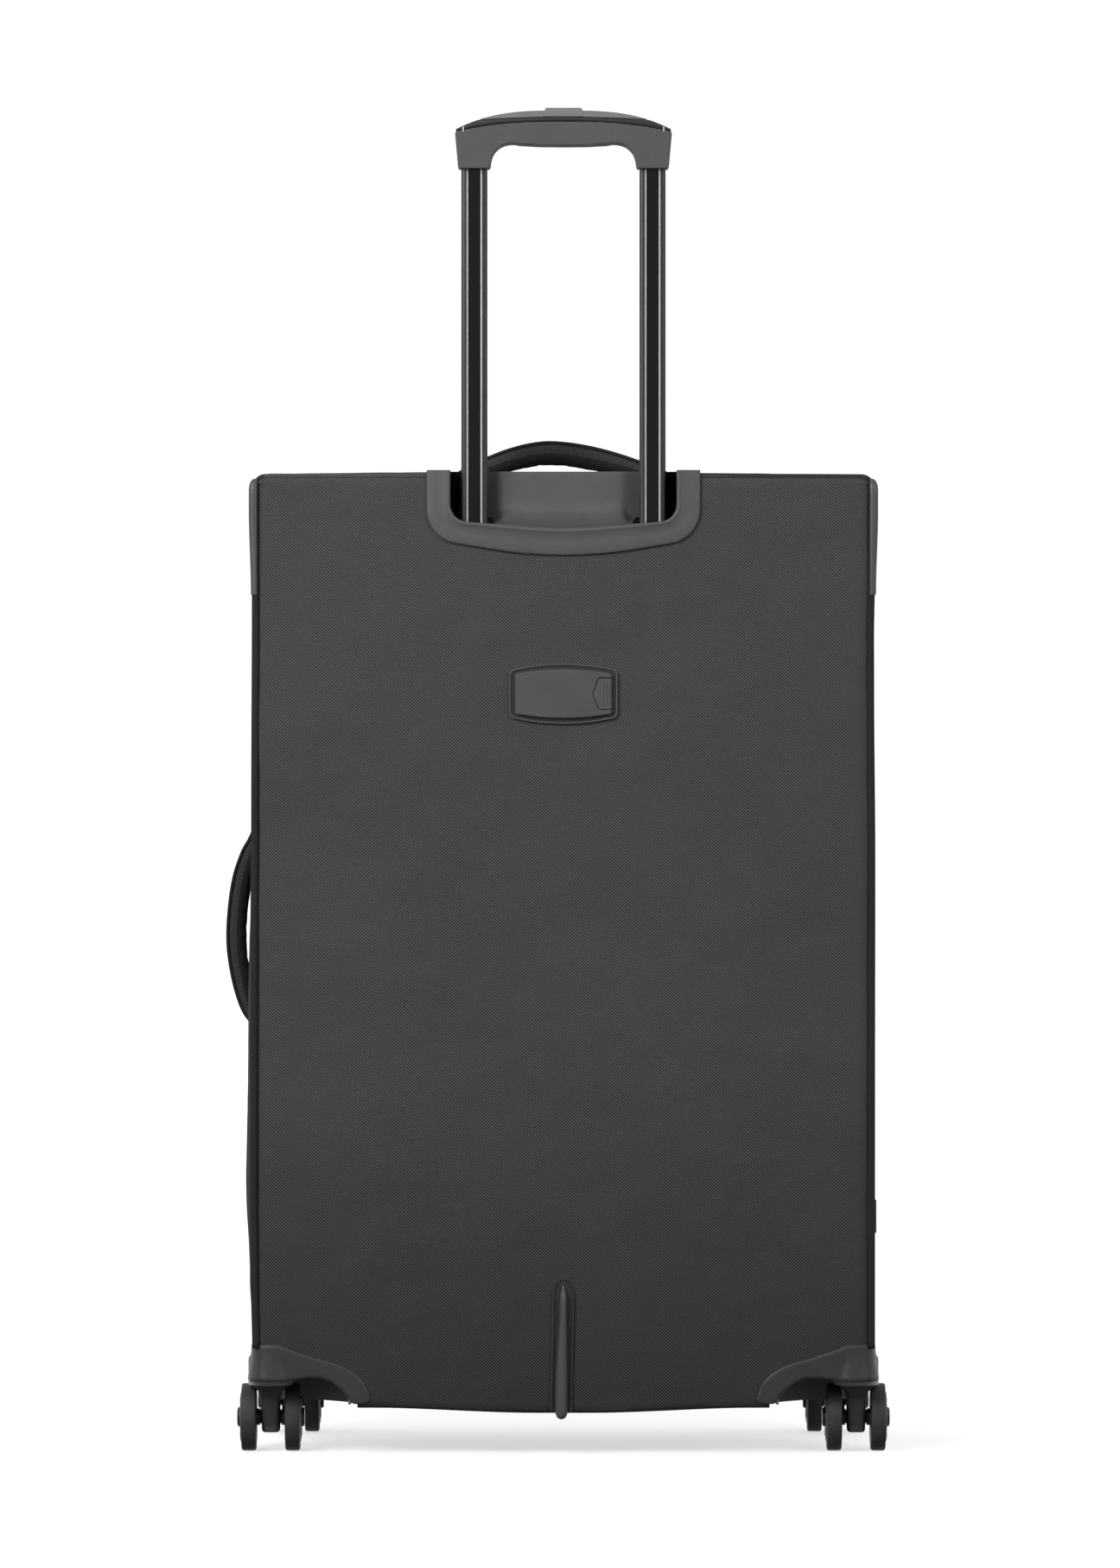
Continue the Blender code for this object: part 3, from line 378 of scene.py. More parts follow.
def catmull(places, count):
    """A smooth curve through a few places."""
    curve = []
    for k in range(count):
        at = (len(places) - 1) * k / (count - 1)
        i = min(len(places) - 2, int(at))
        t = at - i
        p = [Vector(places[max(0, min(len(places) - 1, i + d))]) for d in (-1, 0, 1, 2)]
        curve.append(0.5 * (2 * p[1] + (p[2] - p[0]) * t + (2 * p[0] - 5 * p[1] + 4 * p[2] - p[3]) * t * t
                            + (3 * p[1] - p[0] - 3 * p[2] + p[3]) * t ** 3))
    return curve


def circle(radius, count, start=0.0):
    turns = [start + 2 * math.pi * i / count for i in range(count)]
    return [(radius * math.cos(t), radius * math.sin(t)) for t in turns]


def squarish(half_u, half_v, power, count):
    """A rounded rectangle as one superellipse."""
    outline = []
    for i in range(count):
        t = 2 * math.pi * i / count
        c, s = math.cos(t), math.sin(t)
        outline.append(
            (half_u * math.copysign(abs(c) ** (2 / power), c), half_v * math.copysign(abs(s) ** (2 / power), s))
        )
    return outline


def rounded(corners, steps=6):
    """An outline from corners (u, v, radius)."""
    outline = []
    for i, (u, v, radius) in enumerate(corners):
        here = Vector((u, v))
        if radius == 0:
            outline.append((u, v))
            continue
        back = (Vector(corners[i - 1][:2]) - here).normalized()
        ahead = (Vector(corners[(i + 1) % len(corners)][:2]) - here).normalized()
        half = back.angle(ahead) / 2
        middle = here + (back + ahead).normalized() * radius / math.sin(half)
        first = here + back * radius / math.tan(half) - middle
        last = here + ahead * radius / math.tan(half) - middle
        turn = first.angle_signed(last)
        for k in range(steps + 1):
            outline.append(tuple(middle + Matrix.Rotation(-turn * k / steps, 2) @ first))
    return outline


def resampled(outline, count, closed=False):
    """The outline with evenly spaced points."""
    points = [Vector(p) for p in outline]
    if closed:
        points.append(points[0])
    lengths = [0.0]
    for a, b in zip(points, points[1:]):
        lengths.append(lengths[-1] + (b - a).length)
    steps = count if closed else count - 1
    result, k = [], 0
    for i in range(count):
        at = lengths[-1] * i / steps
        while k < len(points) - 2 and lengths[k + 1] < at:
            k += 1
        share = (at - lengths[k]) / max(1e-9, lengths[k + 1] - lengths[k])
        result.append(tuple(points[k].lerp(points[k + 1], share)))
    return result


def slab(name, outline, low, high, material, round_by=0.0, segments=3, angle=40):
    """An outline in XZ made solid between two depths, with its edges rounded."""
    shape = bmesh.new()
    front = [shape.verts.new((x, low, z)) for x, z in outline]
    face = shape.faces.new(front)
    moved = bmesh.ops.extrude_face_region(shape, geom=[face])["geom"]
    for item in moved:
        if isinstance(item, bmesh.types.BMVert):
            item.co.y = high
    bmesh.ops.recalc_face_normals(shape, faces=shape.faces)
    mesh = bpy.data.meshes.new(name)
    shape.to_mesh(mesh)
    shape.free()
    mesh.materials.append(material)
    made = bpy.data.objects.new(name, mesh)
    bpy.context.scene.collection.objects.link(made)
    mesh.shade_smooth()
    if round_by:
        modify(
            made, "BEVEL", width=round_by, segments=segments, limit_method="ANGLE",
            angle_limit=math.radians(angle), harden_normals=True,
        )
        applied(made)
    else:
        mesh.set_sharp_from_angle(angle=math.radians(angle))
    return made


def joined(name, items):
    """Several items as one, which keeps each one's materials."""
    bpy.ops.object.select_all(action="DESELECT")
    for item in items:
        item.select_set(True)
    bpy.context.view_layer.objects.active = items[0]
    bpy.ops.object.join()
    items[0].name = name
    items[0].data.name = name
    return items[0]


def fused(name, items, voxel, soften, material):
    """Overlapping solids as one moulded body: remeshed together, with their edges softened."""
    made = joined(name, items)
    modify(made, "REMESH", mode="VOXEL", voxel_size=voxel)
    modify(made, "SMOOTH", factor=0.6, iterations=soften)
    applied(made)
    made.data.materials.clear()
    made.data.materials.append(material)
    made.data.shade_smooth()
    return made


def carved(item, low, high):
    """The item with a box cut out of it."""
    corners = [(x, y, z) for x in (low[0], high[0]) for y in (low[1], high[1]) for z in (low[2], high[2])]
    faces = [(0, 1, 3, 2), (4, 6, 7, 5), (0, 4, 5, 1), (2, 3, 7, 6), (0, 2, 6, 4), (1, 5, 7, 3)]
    cutter = cleaned(make("cutter", corners, faces))
    modify(item, "BOOLEAN", object=cutter, operation="DIFFERENCE", solver="EXACT")
    applied(item)
    bpy.data.objects.remove(cutter)
    item.data.set_sharp_from_angle(angle=math.radians(50))
    return item


def turned(name, profile, middle, axis, material, steps=48):
    """A profile of (radius, height) turned about an axis. A radius of 0 closes it."""
    turn = Vector(axis).to_track_quat("Z", "Y").to_matrix()
    rows = []
    for radius, height in profile:
        radius = max(radius, 1e-5)
        rows.append([Vector(middle) + turn @ Vector((u, v, height)) for u, v in circle(radius, steps)])
    made = loft(name, rows, material, closed=True, ends=True)
    return cleaned(made, 50)


def tube_along(name, path, section, material, closed=False):
    """A section (side, up) carried along a path of (place, side, up) frames."""
    rows = [[place + side * u + up * v for u, v in section] for place, side, up in path]
    made = loft(name, rows, material, closed=True, ends=not closed, around=closed)
    cleaned(made)
    return made


def stitches(name, points, normals, long, pitch, thick, closed=False):
    """Thread along a line of points, each stitch a low arched bead."""
    points = [Vector(p) for p in points]
    normals = [Vector(n) for n in normals]
    if closed:
        points.append(points[0])
        normals.append(normals[0])
    lengths = [0.0]
    for a, b in zip(points, points[1:]):
        lengths.append(lengths[-1] + (b - a).length)
    count = max(1, round(lengths[-1] / pitch))
    corners, faces, k = [], [], 0
    sides = 6
    for i in range(count):
        at = lengths[-1] * (i + 0.5) / count
        while k < len(points) - 2 and lengths[k + 1] < at:
            k += 1
        share = (at - lengths[k]) / max(1e-9, lengths[k + 1] - lengths[k])
        middle = points[k].lerp(points[k + 1], share)
        ahead = (points[k + 1] - points[k]).normalized()
        up = normals[k].lerp(normals[k + 1], share).normalized()
        side = ahead.cross(up)
        start = len(corners)
        for along, wide, rise in ((-0.5, 0.35, -0.5), (-0.25, 0.9, 0.15), (0.25, 0.9, 0.15), (0.5, 0.35, -0.5)):
            for u, v in circle(thick / 2 * wide, sides):
                corners.append(middle + ahead * along * long + side * u + up * (v + rise * thick))
        for r in range(3):
            for j in range(sides):
                a, b = start + r * sides + j, start + r * sides + (j + 1) % sides
                faces.append((a, b, b + sides, a + sides))
        faces.append(tuple(start + j for j in reversed(range(sides))))
        faces.append(tuple(start + 3 * sides + j for j in range(sides)))
    made = make(name, corners, faces, THREAD)
    cleaned(made)
    cloth_from_shape(made)
    return made


# ---- The case's cloth ------------------------------------------------------------------

PANEL_HALF = 0.2395
PANEL_LOW, PANEL_TOP = 0.0400, 0.7600
TOP_ROLL = 0.0085
STEP = 0.0045
FLAT_PATCHES = (  # (middle x, middle z, half width, half height) of what lies on the back panel
    (0.0, 0.7380, 0.109, 0.036),
    (0.0, 0.5960, 0.044, 0.025),
    (0.0, 0.0830, 0.010, 0.056),
    (0.205, 0.0600, 0.055, 0.034),
    (-0.205, 0.0600, 0.055, 0.034),
    (0.2395, 0.7200, 0.006, 0.050),
    (-0.2395, 0.7200, 0.006, 0.050),
)


def clear_of_patches(x, z, reach=0.035):
    """0 on a piece that lies on the panel, rising to 1 away from them all."""
    free = 1.0
    for middle_x, middle_z, half_x, half_z in FLAT_PATCHES:
        away = math.hypot(max(0, abs(x - middle_x) - half_x), max(0, abs(z - middle_z) - half_z))
        free = min(free, smoothstep(0.0, reach, away))
    return free


def soft_waves(x, z, size, seed):
    return noise.fractal(Vector((x / size, z / size, seed)), 0.6, 2.0, 3)


def pull_folds(x, z):
    """Faint folds that fan down and out from the handle well's lower corners."""
    total = 0.0
    for side in (-1, 1):
        dx, dz = x - side * 0.060, 0.715 - z
        if dz <= 0:
            continue
        angle = math.atan2(dx, dz)
        far = math.hypot(dx, dz)
        fan = math.cos(9.0 * angle + 1.2 * side + 0.6) * math.exp(-((angle / 0.9) ** 2))
        total += fan * smoothstep(0.005, 0.040, far) * math.exp(-far / 0.075)
    return total


def panel_depth(x, z):
    """How far the back panel stands out from its flat plane, towards -Y."""
    free = clear_of_patches(x, z)
    crown = 0.0022 * (1 - (x / PANEL_HALF) ** 4) * math.sin(math.pi * min(1, max(0, (z - 0.05) / 0.70))) ** 0.5
    slant = soft_waves(x * 0.8 + z * 0.55, z * 0.8 - x * 0.35, 0.085, 3.1)
    waves = 0.0011 * slant + 0.0006 * soft_waves(x, z, 0.040, 7.7) + 0.0012 * pull_folds(x, z)
    return free * crown + (0.25 + 0.75 * free) * waves


def make_back_panel():
    """The back's cloth: it dips into its side seams, rolls over the top edge and tucks in at the bottom."""
    columns = round(2 * PANEL_HALF / STEP)
    heights = spread(PANEL_LOW, PANEL_TOP, round((PANEL_TOP - PANEL_LOW) / STEP))
    rows, flat = [], []

    def add_row(along, place):
        row = []
        for i in range(columns + 1):
            share = 2 * i / columns - 1
            x = PANEL_HALF * math.copysign(1 - (1 - abs(share)) ** 1.15, share)
            row.append(place(x))
            flat.append((x, along))
        rows.append(row)

    def seam_dip(x):
        return 0.0022 * (1 - smoothstep(0.0, 0.0065, PANEL_HALF - abs(x)))

    for drop in (3, 2, 1):
        turn = drop * math.pi / 6
        add_row(PANEL_LOW - 0.006 * turn, lambda x, t=turn: bottom_point(x, t))
    for z in heights:
        add_row(z, lambda x, z=z: Vector((x, BACK - panel_depth(x, z) + seam_dip(x), bottom_sag(x, z))))
    for k in range(1, 9):
        turn = k * math.pi / 16
        add_row(PANEL_TOP + TOP_ROLL * turn, lambda x, t=turn: top_point(x, t))

    keep_rows = len(heights) + 3
    made = loft("back_panel_cloth", rows, FABRIC)
    set_cloth(made, flat)
    shape = bmesh.new()
    shape.from_mesh(made.data)
    hidden = [f for f in shape.faces if behind_fittings(f.calc_center_median())]
    bmesh.ops.delete(shape, geom=hidden, context="FACES")
    shape.to_mesh(made.data)
    shape.free()
    made.data.flip_normals() if made.data.polygons[keep_rows].normal.y > 0 else None
    made.data.shade_smooth()
    modify(made, "SOLIDIFY", thickness=0.0022, offset=-1)
    applied(made)
    return put(made, "case", "ballistic_fabric", "back_panel")


def bottom_sag(x, z):
    """The panel's lower edge hangs a little lower in the middle."""
    return z - 0.0040 * math.exp(-(((z - PANEL_LOW) / 0.03) ** 2)) * (1 - smoothstep(0.02, 0.150, abs(x)))


def bottom_point(x, turn):
    radius = 0.006
    z = bottom_sag(x, PANEL_LOW)
    return Vector((x, BACK + radius * (1 - math.cos(turn)) + 0.0005, z - radius * math.sin(turn) * 0.55))


def top_point(x, turn):
    """The roll over the top edge, tighter and lower at its two ends."""
    end = smoothstep(0.0, 0.009, PANEL_HALF - abs(x))
    height = TOP_ROLL * (0.35 + 0.65 * math.sqrt(end)) - 0.0012 * smoothstep(0.0, 0.24, x)
    return Vector((x, BACK + TOP_ROLL * (1 - math.cos(turn)), PANEL_TOP + height * math.sin(turn)))


def behind_fittings(point):
    """Whether a point of the back panel lies behind the handle well or a caster's housing."""
    x, z = abs(point.x), point.z
    if x < 0.0915 and z > 0.7185 + 0.0075 * (x / 0.0887) ** 2:
        return True
    return x > 0.160 and z < min(0.0800, 0.0510 + 0.62 * (x - 0.166))


def side_bulge(z, side):
    """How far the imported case's side stands out, from the silhouette's soft line."""
    if side < 0:
        places = ((0.08, -0.0005), (0.138, 0.0060), (0.205, 0.0095), (0.314, 0.0075), (0.503, 0.0035), (0.680, 0.0))
    else:
        places = ((0.08, 0.0010), (0.300, 0.0012), (0.463, 0.0018), (0.600, -0.0035), (0.640, -0.0042), (0.690, 0.0))
    return between(places, max(0.08, z))


def perimeter(half, low, high, radius, spacing):
    """Samples (x, z, outward x, outward z, distance) round a rectangle, from its bottom's middle, rightwards."""
    corners = ((half - radius, low + radius, -90), (half - radius, high - radius, 0),
               (-half + radius, high - radius, 90), (-half + radius, low + radius, 180))
    samples, at = [], 0.0
    here = Vector((0.0, low))

    def straight(target, out):
        nonlocal at, here
        target = Vector(target)
        length = (target - here).length
        steps = max(1, round(length / spacing))
        for k in range(steps):
            place = here.lerp(target, k / steps)
            samples.append((place.x, place.y, out[0], out[1], at + length * k / steps))
        at += length
        here = target

    outs = ((0, -1), (1, 0), (0, 1), (-1, 0), (0, -1))
    for (cx, cz, start), out in zip(corners, outs):
        first = math.radians(start)
        straight((cx + radius * math.cos(first), cz + radius * math.sin(first)), out)
        for k in range(6):
            t = first + math.pi / 2 * k / 6
            samples.append((cx + radius * math.cos(t), cz + radius * math.sin(t), math.cos(t), math.sin(t),
                            at + radius * (t - first)))
        at += radius * math.pi / 2
        here = Vector((cx + radius * math.cos(first + math.pi / 2), cz + radius * math.sin(first + math.pi / 2)))
    straight((0.0, low), outs[-1])
    return samples, at


def shell_offset(x, z, nx, nz, y):
    """How far the wrapped cloth stands out at a place on the shell's perimeter."""
    across = (y - SHELL_LOW.y) / (SHELL_HIGH.y - SHELL_LOW.y)
    swell = math.sin(math.pi * min(1.0, max(0.0, across))) ** 0.7
    waves = 0.0007 * soft_waves(z + x, y, 0.07, 11.0 + nx) * swell
    if abs(nx) > 0.6:
        lean = 1 - 0.45 * across
        return side_bulge(z, nx) * swell * lean * abs(nx) + waves
    if nz > 0.6:
        middle = 1 - (x / HALF) ** 2
        return (0.0035 * max(0, middle) ** 0.5 - 0.0012 * smoothstep(0.0, 0.24, x)) * swell + waves
    return 0.0015 * swell * (1 - (x / HALF) ** 2)


def wheel_arch_lift(x, z):
    """The bottom corners rise between the casters' housings."""
    if z > 0.0600 or abs(x) < 0.204:
        return z
    return max(z, SHELL_LOW.z + (0.0600 - SHELL_LOW.z) * smoothstep(0.204, 0.214, abs(x)))


def make_shell():
    """The cloth wrapped round the sides, top and bottom, lined inside."""
    samples, length = perimeter(HALF, SHELL_LOW.z, SHELL_HIGH.z, 0.010, 0.008)
    start, end = BACK + 0.0015, SHELL_HIGH.y
    depths = [start, start + 0.001, start + 0.003, start + 0.006] + spread(start + 0.012, end - 0.010, 24) + [
        end - 0.006, end - 0.003, end - 0.001, end]
    rows, flat = [], []
    for y in depths:
        row = []
        hem = 0.0028 * (1 - smoothstep(0.0, 0.006, min(y - start, end - y)))
        for x, z, nx, nz, at in samples:
            out = shell_offset(x, z, nx, nz, y) - hem
            row.append(Vector((x + nx * out, y, wheel_arch_lift(x, z + nz * out))))
            flat.append((y, at) if abs(nx) > 0.7 else (at, y))
        rows.append(row)
    made = loft("side_cloth", rows, SIDE_FABRIC, closed=True)
    set_cloth(made, flat)
    shape = bmesh.new()
    shape.from_mesh(made.data)
    hidden = [f for f in shape.faces if shell_hidden(f.calc_center_median())]
    bmesh.ops.delete(shape, geom=hidden, context="FACES")
    shape.to_mesh(made.data)
    shape.free()
    if made.data.polygons[0].normal.dot(made.data.polygons[0].center - Vector((0, 0, 0.4))) < 0:
        made.data.flip_normals()
    made.data.materials.append(LINING)
    modify(made, "SOLIDIFY", thickness=0.0035, offset=-1, material_offset=1, material_offset_rim=0)
    applied(made)
    made.data.shade_smooth()
    return put(made, "case", "ballistic_fabric", "shell")


def shell_hidden(point):
    """Places where the wrapped cloth is cut away: under the handle well and inside the casters' housings."""
    x, y, z = abs(point.x), point.y, point.z
    if z > 0.75 and x < 0.0925 and y < -0.1000:
        return True
    top = min(0.0820, 0.0440 + 0.62 * (x - 0.160))
    inside = x > 0.160 and z < top
    return inside and (y < -0.0450 or y > 0.0165)


def make_piping(name, body, half, low, high, y, radius, slot, open_above=None, hinged=False):
    """A rolled bias tape sewn along an edge. It can stop short of the bottom, or of the hinge on the left."""
    samples, length = perimeter(half, low, high, 0.009, 0.007)
    if open_above is not None:
        samples = [s for s in samples if s[1] > open_above]
    if hinged:
        left = [i for i, s in enumerate(samples) if s[0] < -half + 0.012]
        samples = samples[left[-1] + 1:] + samples[:left[0]]
    path, flat = [], []
    for x, z, nx, nz, at in samples:
        path.append((Vector((x, y, z)), Vector((nx, 0, nz)), Vector((0, -1, 0))))
        flat += [(radius * t, at) for t in spread(0, 2 * math.pi, 12)]
    made = tube_along(name, path, circle(radius, 12), PIPING, closed=open_above is None and not hinged)
    places = flat if len(flat) == len(made.data.vertices) else None
    set_cloth(made, places) if places else cloth_from_shape(made)
    return put(made, body, slot)


def make_case_edges():
    """The rolled edges of the case: up each side at the back, and all round at the front."""
    for side in (-1, 1):
        path, flat = [], []
        for z in spread(0.0840, 0.690, 122):
            out = 0.18 * side_bulge(z, side)
            middle = Vector((side * (0.2409 + out), BACK + 0.0012, z))
            path.append((middle, Vector((side, 0, 0)), Vector((0, -1, 0))))
            flat += [(0.0029 * t, z) for t in spread(0, 2 * math.pi, 14)]
        made = tube_along(f"back_piping_{'right' if side > 0 else 'left'}", path, circle(0.0029, 14), PIPING)
        set_cloth(made, flat)
        put(made, "case", "ballistic_fabric")
    make_piping("front_piping", "case", HALF - 0.0012, 0.0905, SHELL_HIGH.z - 0.001, SHELL_HIGH.y - 0.0032,
                0.0026, "ballistic_fabric", open_above=0.0905)


# ---- The front section -----------------------------------------------------------------


def make_band(name, body, half, low, high, start, end, material, slot, *nodes, swell=0.0015, thick=0.003):
    """A strip of cloth standing on edge all round the front, lined inside."""
    samples, length = perimeter(half, low, high, 0.010, 0.008)
    depths = spread(start, end, 7)
    rows, flat = [], []
    for y in depths:
        out = swell * math.sin(math.pi * (y - start) / (end - start))
        rows.append([Vector((x + nx * out, y, z + nz * out)) for x, z, nx, nz, at in samples])
        flat += [(y, at) if abs(nx) > 0.7 else (at, y) for x, z, nx, nz, at in samples]
    made = loft(name, rows, material, closed=True)
    set_cloth(made, flat)
    first = made.data.polygons[0]
    if first.normal.dot(first.center - Vector((first.center.x * 0.5, first.center.y, 0.427))) < 0:
        made.data.flip_normals()
    made.data.materials.append(LINING)
    modify(made, "SOLIDIFY", thickness=thick, offset=-1, material_offset=1, material_offset_rim=0)
    applied(made)
    made.data.shade_smooth()
    return put(made, body, slot, *nodes)


def make_zip(name, body, node_name):
    """A coil zip all round: two tape edges with a row of teeth standing between them."""
    low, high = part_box(node_name)
    band = make_band(name + "_tape", body, high.x - 0.0008, low.z + 0.0008, high.z - 0.0008, low.y, high.y,
                     TAPE, "zip_tape", node_name, swell=0.0, thick=0.0022)
    samples, length = perimeter(high.x - 0.0004, low.z + 0.0004, high.z - 0.0004, 0.010, 0.0024)
    middle = (low.y + high.y) / 2
    corners, faces = [], []
    for x, z, nx, nz, at in samples:
        out = Vector((nx, 0, nz))
        along = Vector((-nz, 0, nx))
        start = len(corners)
        for a in (-0.0007, 0.0007):
            for deep, rise in ((-0.0011, 0), (-0.0008, 0.0008), (0.0008, 0.0008), (0.0011, 0)):
                corners.append(Vector((x, middle + deep, z)) + out * (rise - 0.0002) + along * a)
        faces += [(start + i, start + i + 1, start + i + 5, start + i + 4) for i in range(3)]
        faces += [(start + 3, start, start + 4, start + 7), (start, start + 3, start + 2, start + 1),
                  (start + 4, start + 5, start + 6, start + 7)]
    teeth = cleaned(make(name + "_teeth", corners, faces, COIL), 30)
    put(teeth, body, "zip_tape")
    return band


def inflated(item, pressure, cap, frames=14):
    """Cloth simulation: the closed skin swells under pressure, and no point moves further than the cap."""
    rest = np.array([v.co[:] for v in item.data.vertices])
    cloth = modify(item, "CLOTH").settings
    cloth.quality = 4
    cloth.mass = 0.15
    cloth.tension_stiffness = 25
    cloth.compression_stiffness = 25
    cloth.shear_stiffness = 12
    cloth.bending_stiffness = 1.5
    cloth.use_pressure = True
    cloth.uniform_pressure_force = pressure
    cloth.effector_weights.gravity = 0
    scene = bpy.context.scene
    for at in range(1, frames + 1):
        scene.frame_set(at)
    applied(item)
    scene.frame_set(1)
    now = np.array([v.co[:] for v in item.data.vertices])
    moved = now - rest
    far = np.linalg.norm(moved, axis=1, keepdims=True)
    now = rest + moved * np.minimum(1.0, cap / np.maximum(far, 1e-9))
    item.data.vertices.foreach_set("co", now.astype(np.float32).ravel())
    item.data.update()
    return item


def plump(name, outline, back, deep, rim, material, cell=0.009):
    """A padded panel in XZ: flat behind, crowned in front, pulled in at its seam. Its outline is closed."""
    rings = [1.0, 0.992, 0.975, 0.94, 0.88, 0.80, 0.70, 0.58, 0.45, 0.30, 0.15]
    centre = Vector((sum(p[0] for p in outline) / len(outline), sum(p[1] for p in outline) / len(outline)))
    span = min(max(p[0] for p in outline) - centre.x, max(p[1] for p in outline) - centre.y)
    rows = []

    def ring(share, y):
        return [Vector((centre.x + (x - centre.x) * share, y, centre.y + (z - centre.y) * share)) for x, z in outline]

    rows += [ring(share, back) for share in (0.15, 0.55, 0.97, 1.0)]
    for share in rings:
        rise = 1 - share
        y = back + rim + (deep - rim) * min(1.0, (rise * span / 0.030)) ** 0.55
        rows.append(ring(share, y))
    made = loft(name, rows, material, closed=True, ends=True)
    cleaned(made)
    return made


def make_front():
    """The zipped, expanding front: its band, the lid with piping, and two puffed pockets."""
    size = (RING_HIGH.x, RING_LOW.z, RING_HIGH.z)
    make_band("front_band", "front_section", *size, RING_LOW.y, RING_HIGH.y, SIDE_FABRIC, "ballistic_fabric",
              "front_ring")
    make_zip("main_zip", "front_section", "zip_main")
    make_zip("expansion_zip", "case", "zip_expansion")
    for name, y in (("band_piping_back", RING_LOW.y + 0.0022), ("band_piping_front", RING_HIGH.y - 0.0022)):
        make_piping(name, "front_section", size[0] + 0.0003, size[1], size[2], y, 0.0021, "ballistic_fabric")
    make_lid()
    for name in ("lower", "upper"):
        make_pocket(name)


def make_lid():
    low, high = LID_LOW, LID_HIGH
    rows, flat = [], []
    half_x, half_z = high.x, (high.z - low.z) / 2
    middle_z = (high.z + low.z) / 2
    columns, lines = 96, 132
    for j in range(lines + 1):
        row = []
        v = 2 * j / lines - 1
        for i in range(columns + 1):
            u = 2 * i / columns - 1
            x, z = half_x * u, middle_z + half_z * v
            inset = corner_pull(u * half_x, v * half_z, half_x, half_z, 0.010)
            edge = min(half_x - abs(x), half_z - abs(z - middle_z))
            crown = 0.0045 * (1 - u ** 4) * (1 - v ** 4) + 0.0006 * soft_waves(x, z, 0.08, 21.0)
            y = high.y - 0.0035 * (1 - smoothstep(0.0, 0.010, edge)) + crown * smoothstep(0.0, 0.02, edge)
            row.append(Vector((x * inset[0], y, middle_z + (z - middle_z) * inset[1])))
            flat.append((x, z))
        rows.append(row)
    made = loft("lid_cloth", rows, FABRIC)
    set_cloth(made, flat)
    if made.data.polygons[0].normal.y < 0:
        made.data.flip_normals()
    made.data.materials.append(LINING)
    outside = len(made.data.vertices)
    modify(made, "SOLIDIFY", thickness=high.y - low.y - 0.004, offset=-1, material_offset=1, material_offset_rim=0)
    applied(made)
    for vertex in made.data.vertices[outside:]:
        vertex.co.y = low.y + 0.0006 + 0.0006 * soft_waves(vertex.co.x, vertex.co.z, 0.11, 4.0)
    made.data.shade_smooth()
    put(made, "lid", "ballistic_fabric", "lid")
    make_piping("lid_piping", "lid", high.x - 0.0006, low.z + 0.0006, high.z - 0.0006, high.y - 0.0030, 0.0024,
                "ballistic_fabric", hinged=True)


def corner_pull(x, z, half_x, half_z, radius):
    """Factors that bring a rectangle's corner points onto its rounded corner."""
    dx, dz = abs(x) - (half_x - radius), abs(z) - (half_z - radius)
    if dx <= 0 or dz <= 0:
        return (1.0, 1.0)
    far = math.hypot(dx, dz)
    reach = radius * max(dx, dz) / far
    share = reach / max(dx, dz)
    return (
        (half_x - radius + dx * share) / abs(x),
        (half_z - radius + dz * share) / abs(z),
    )


def make_pocket(name):
    low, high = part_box("pocket_" + name)
    half = high.x
    outline = resampled(
        rounded([(half, high.z, 0.028), (half, low.z, 0.028), (-half, low.z, 0.028), (-half, high.z, 0.028)], 8),
        140, closed=True)
    made = plump(f"pocket_{name}_cloth", outline, low.y, 0.0115, 0.004, FABRIC)
    inflated(made, 2.5, 0.010)
    middle = low.y
    points = [v.co.copy() for v in made.data.vertices]
    for vertex, p in zip(made.data.vertices, points):
        if p.y > low.y + 0.004:
            vertex.co.y += 0.0010 * soft_waves(p.x, p.z, 0.05, 31.0 + low.z)
            vertex.co.y -= 0.0018 * math.exp(-(((p.z - (high.z - 0.040)) / 0.006) ** 2))
        vertex.co.y = max(middle, vertex.co.y)
    modify(made, "SUBSURF", levels=1, render_levels=1)
    applied(made)
    made.data.update()
    cloth_from_shape(made)
    put(made, "lid", "ballistic_fabric", "pocket_" + name)
    frames = [Vector((x, low.y + 0.0018, z)) for x, z in outline]
    centre = Vector((0, low.y, (low.z + high.z) / 2))
    path = []
    for i, place in enumerate(frames):
        ahead = (frames[(i + 1) % len(frames)] - frames[i - 1]).normalized()
        path.append((place, Vector((0, 1, 0)).cross(ahead), Vector((0, 1, 0))))
    edge = tube_along(f"pocket_{name}_piping", path, circle(0.0022, 10), PIPING, closed=True)
    cloth_from_shape(edge)
    put(edge, "lid", "ballistic_fabric")
    make_pocket_zip(name, high.z - 0.018, half - 0.022)


def make_pocket_zip(name, z, half):
    """The pocket's zip: a tape laid across its front, with a row of teeth."""
    slider_low, slider_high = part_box("slider_pocket_" + name)
    face = slider_low.y - 0.0002
    low = face - 0.0016
    tape = slab(f"pocket_{name}_zip_tape", [(half, z + 0.010), (half, z - 0.010), (-half, z - 0.010), (-half, z + 0.010)],
                low, face - 0.0004, TAPE, 0.0004, 2)
    cloth_from_shape(tape)
    put(tape, "lid", "zip_tape")
    corners, faces = [], []
    for x in spread(-half + 0.004, half - 0.004, round(2 * half / 0.0024)):
        start = len(corners)
        for a in (-0.0007, 0.0007):
            for up, out in ((-0.0018, 0), (-0.0013, 0.0006), (0.0013, 0.0006), (0.0018, 0)):
                corners.append((x + a, face - 0.0006 + out, z + up))
        faces += [(start + i, start + i + 1, start + i + 5, start + i + 4) for i in range(3)]
        faces += [(start + 3, start, start + 4, start + 7), (start, start + 3, start + 2, start + 1),
                  (start + 4, start + 5, start + 6, start + 7)]
    put(cleaned(make(f"pocket_{name}_zip_teeth", corners, faces, COIL), 30), "lid", "zip_tape")


# ---- The handle well -------------------------------------------------------------------

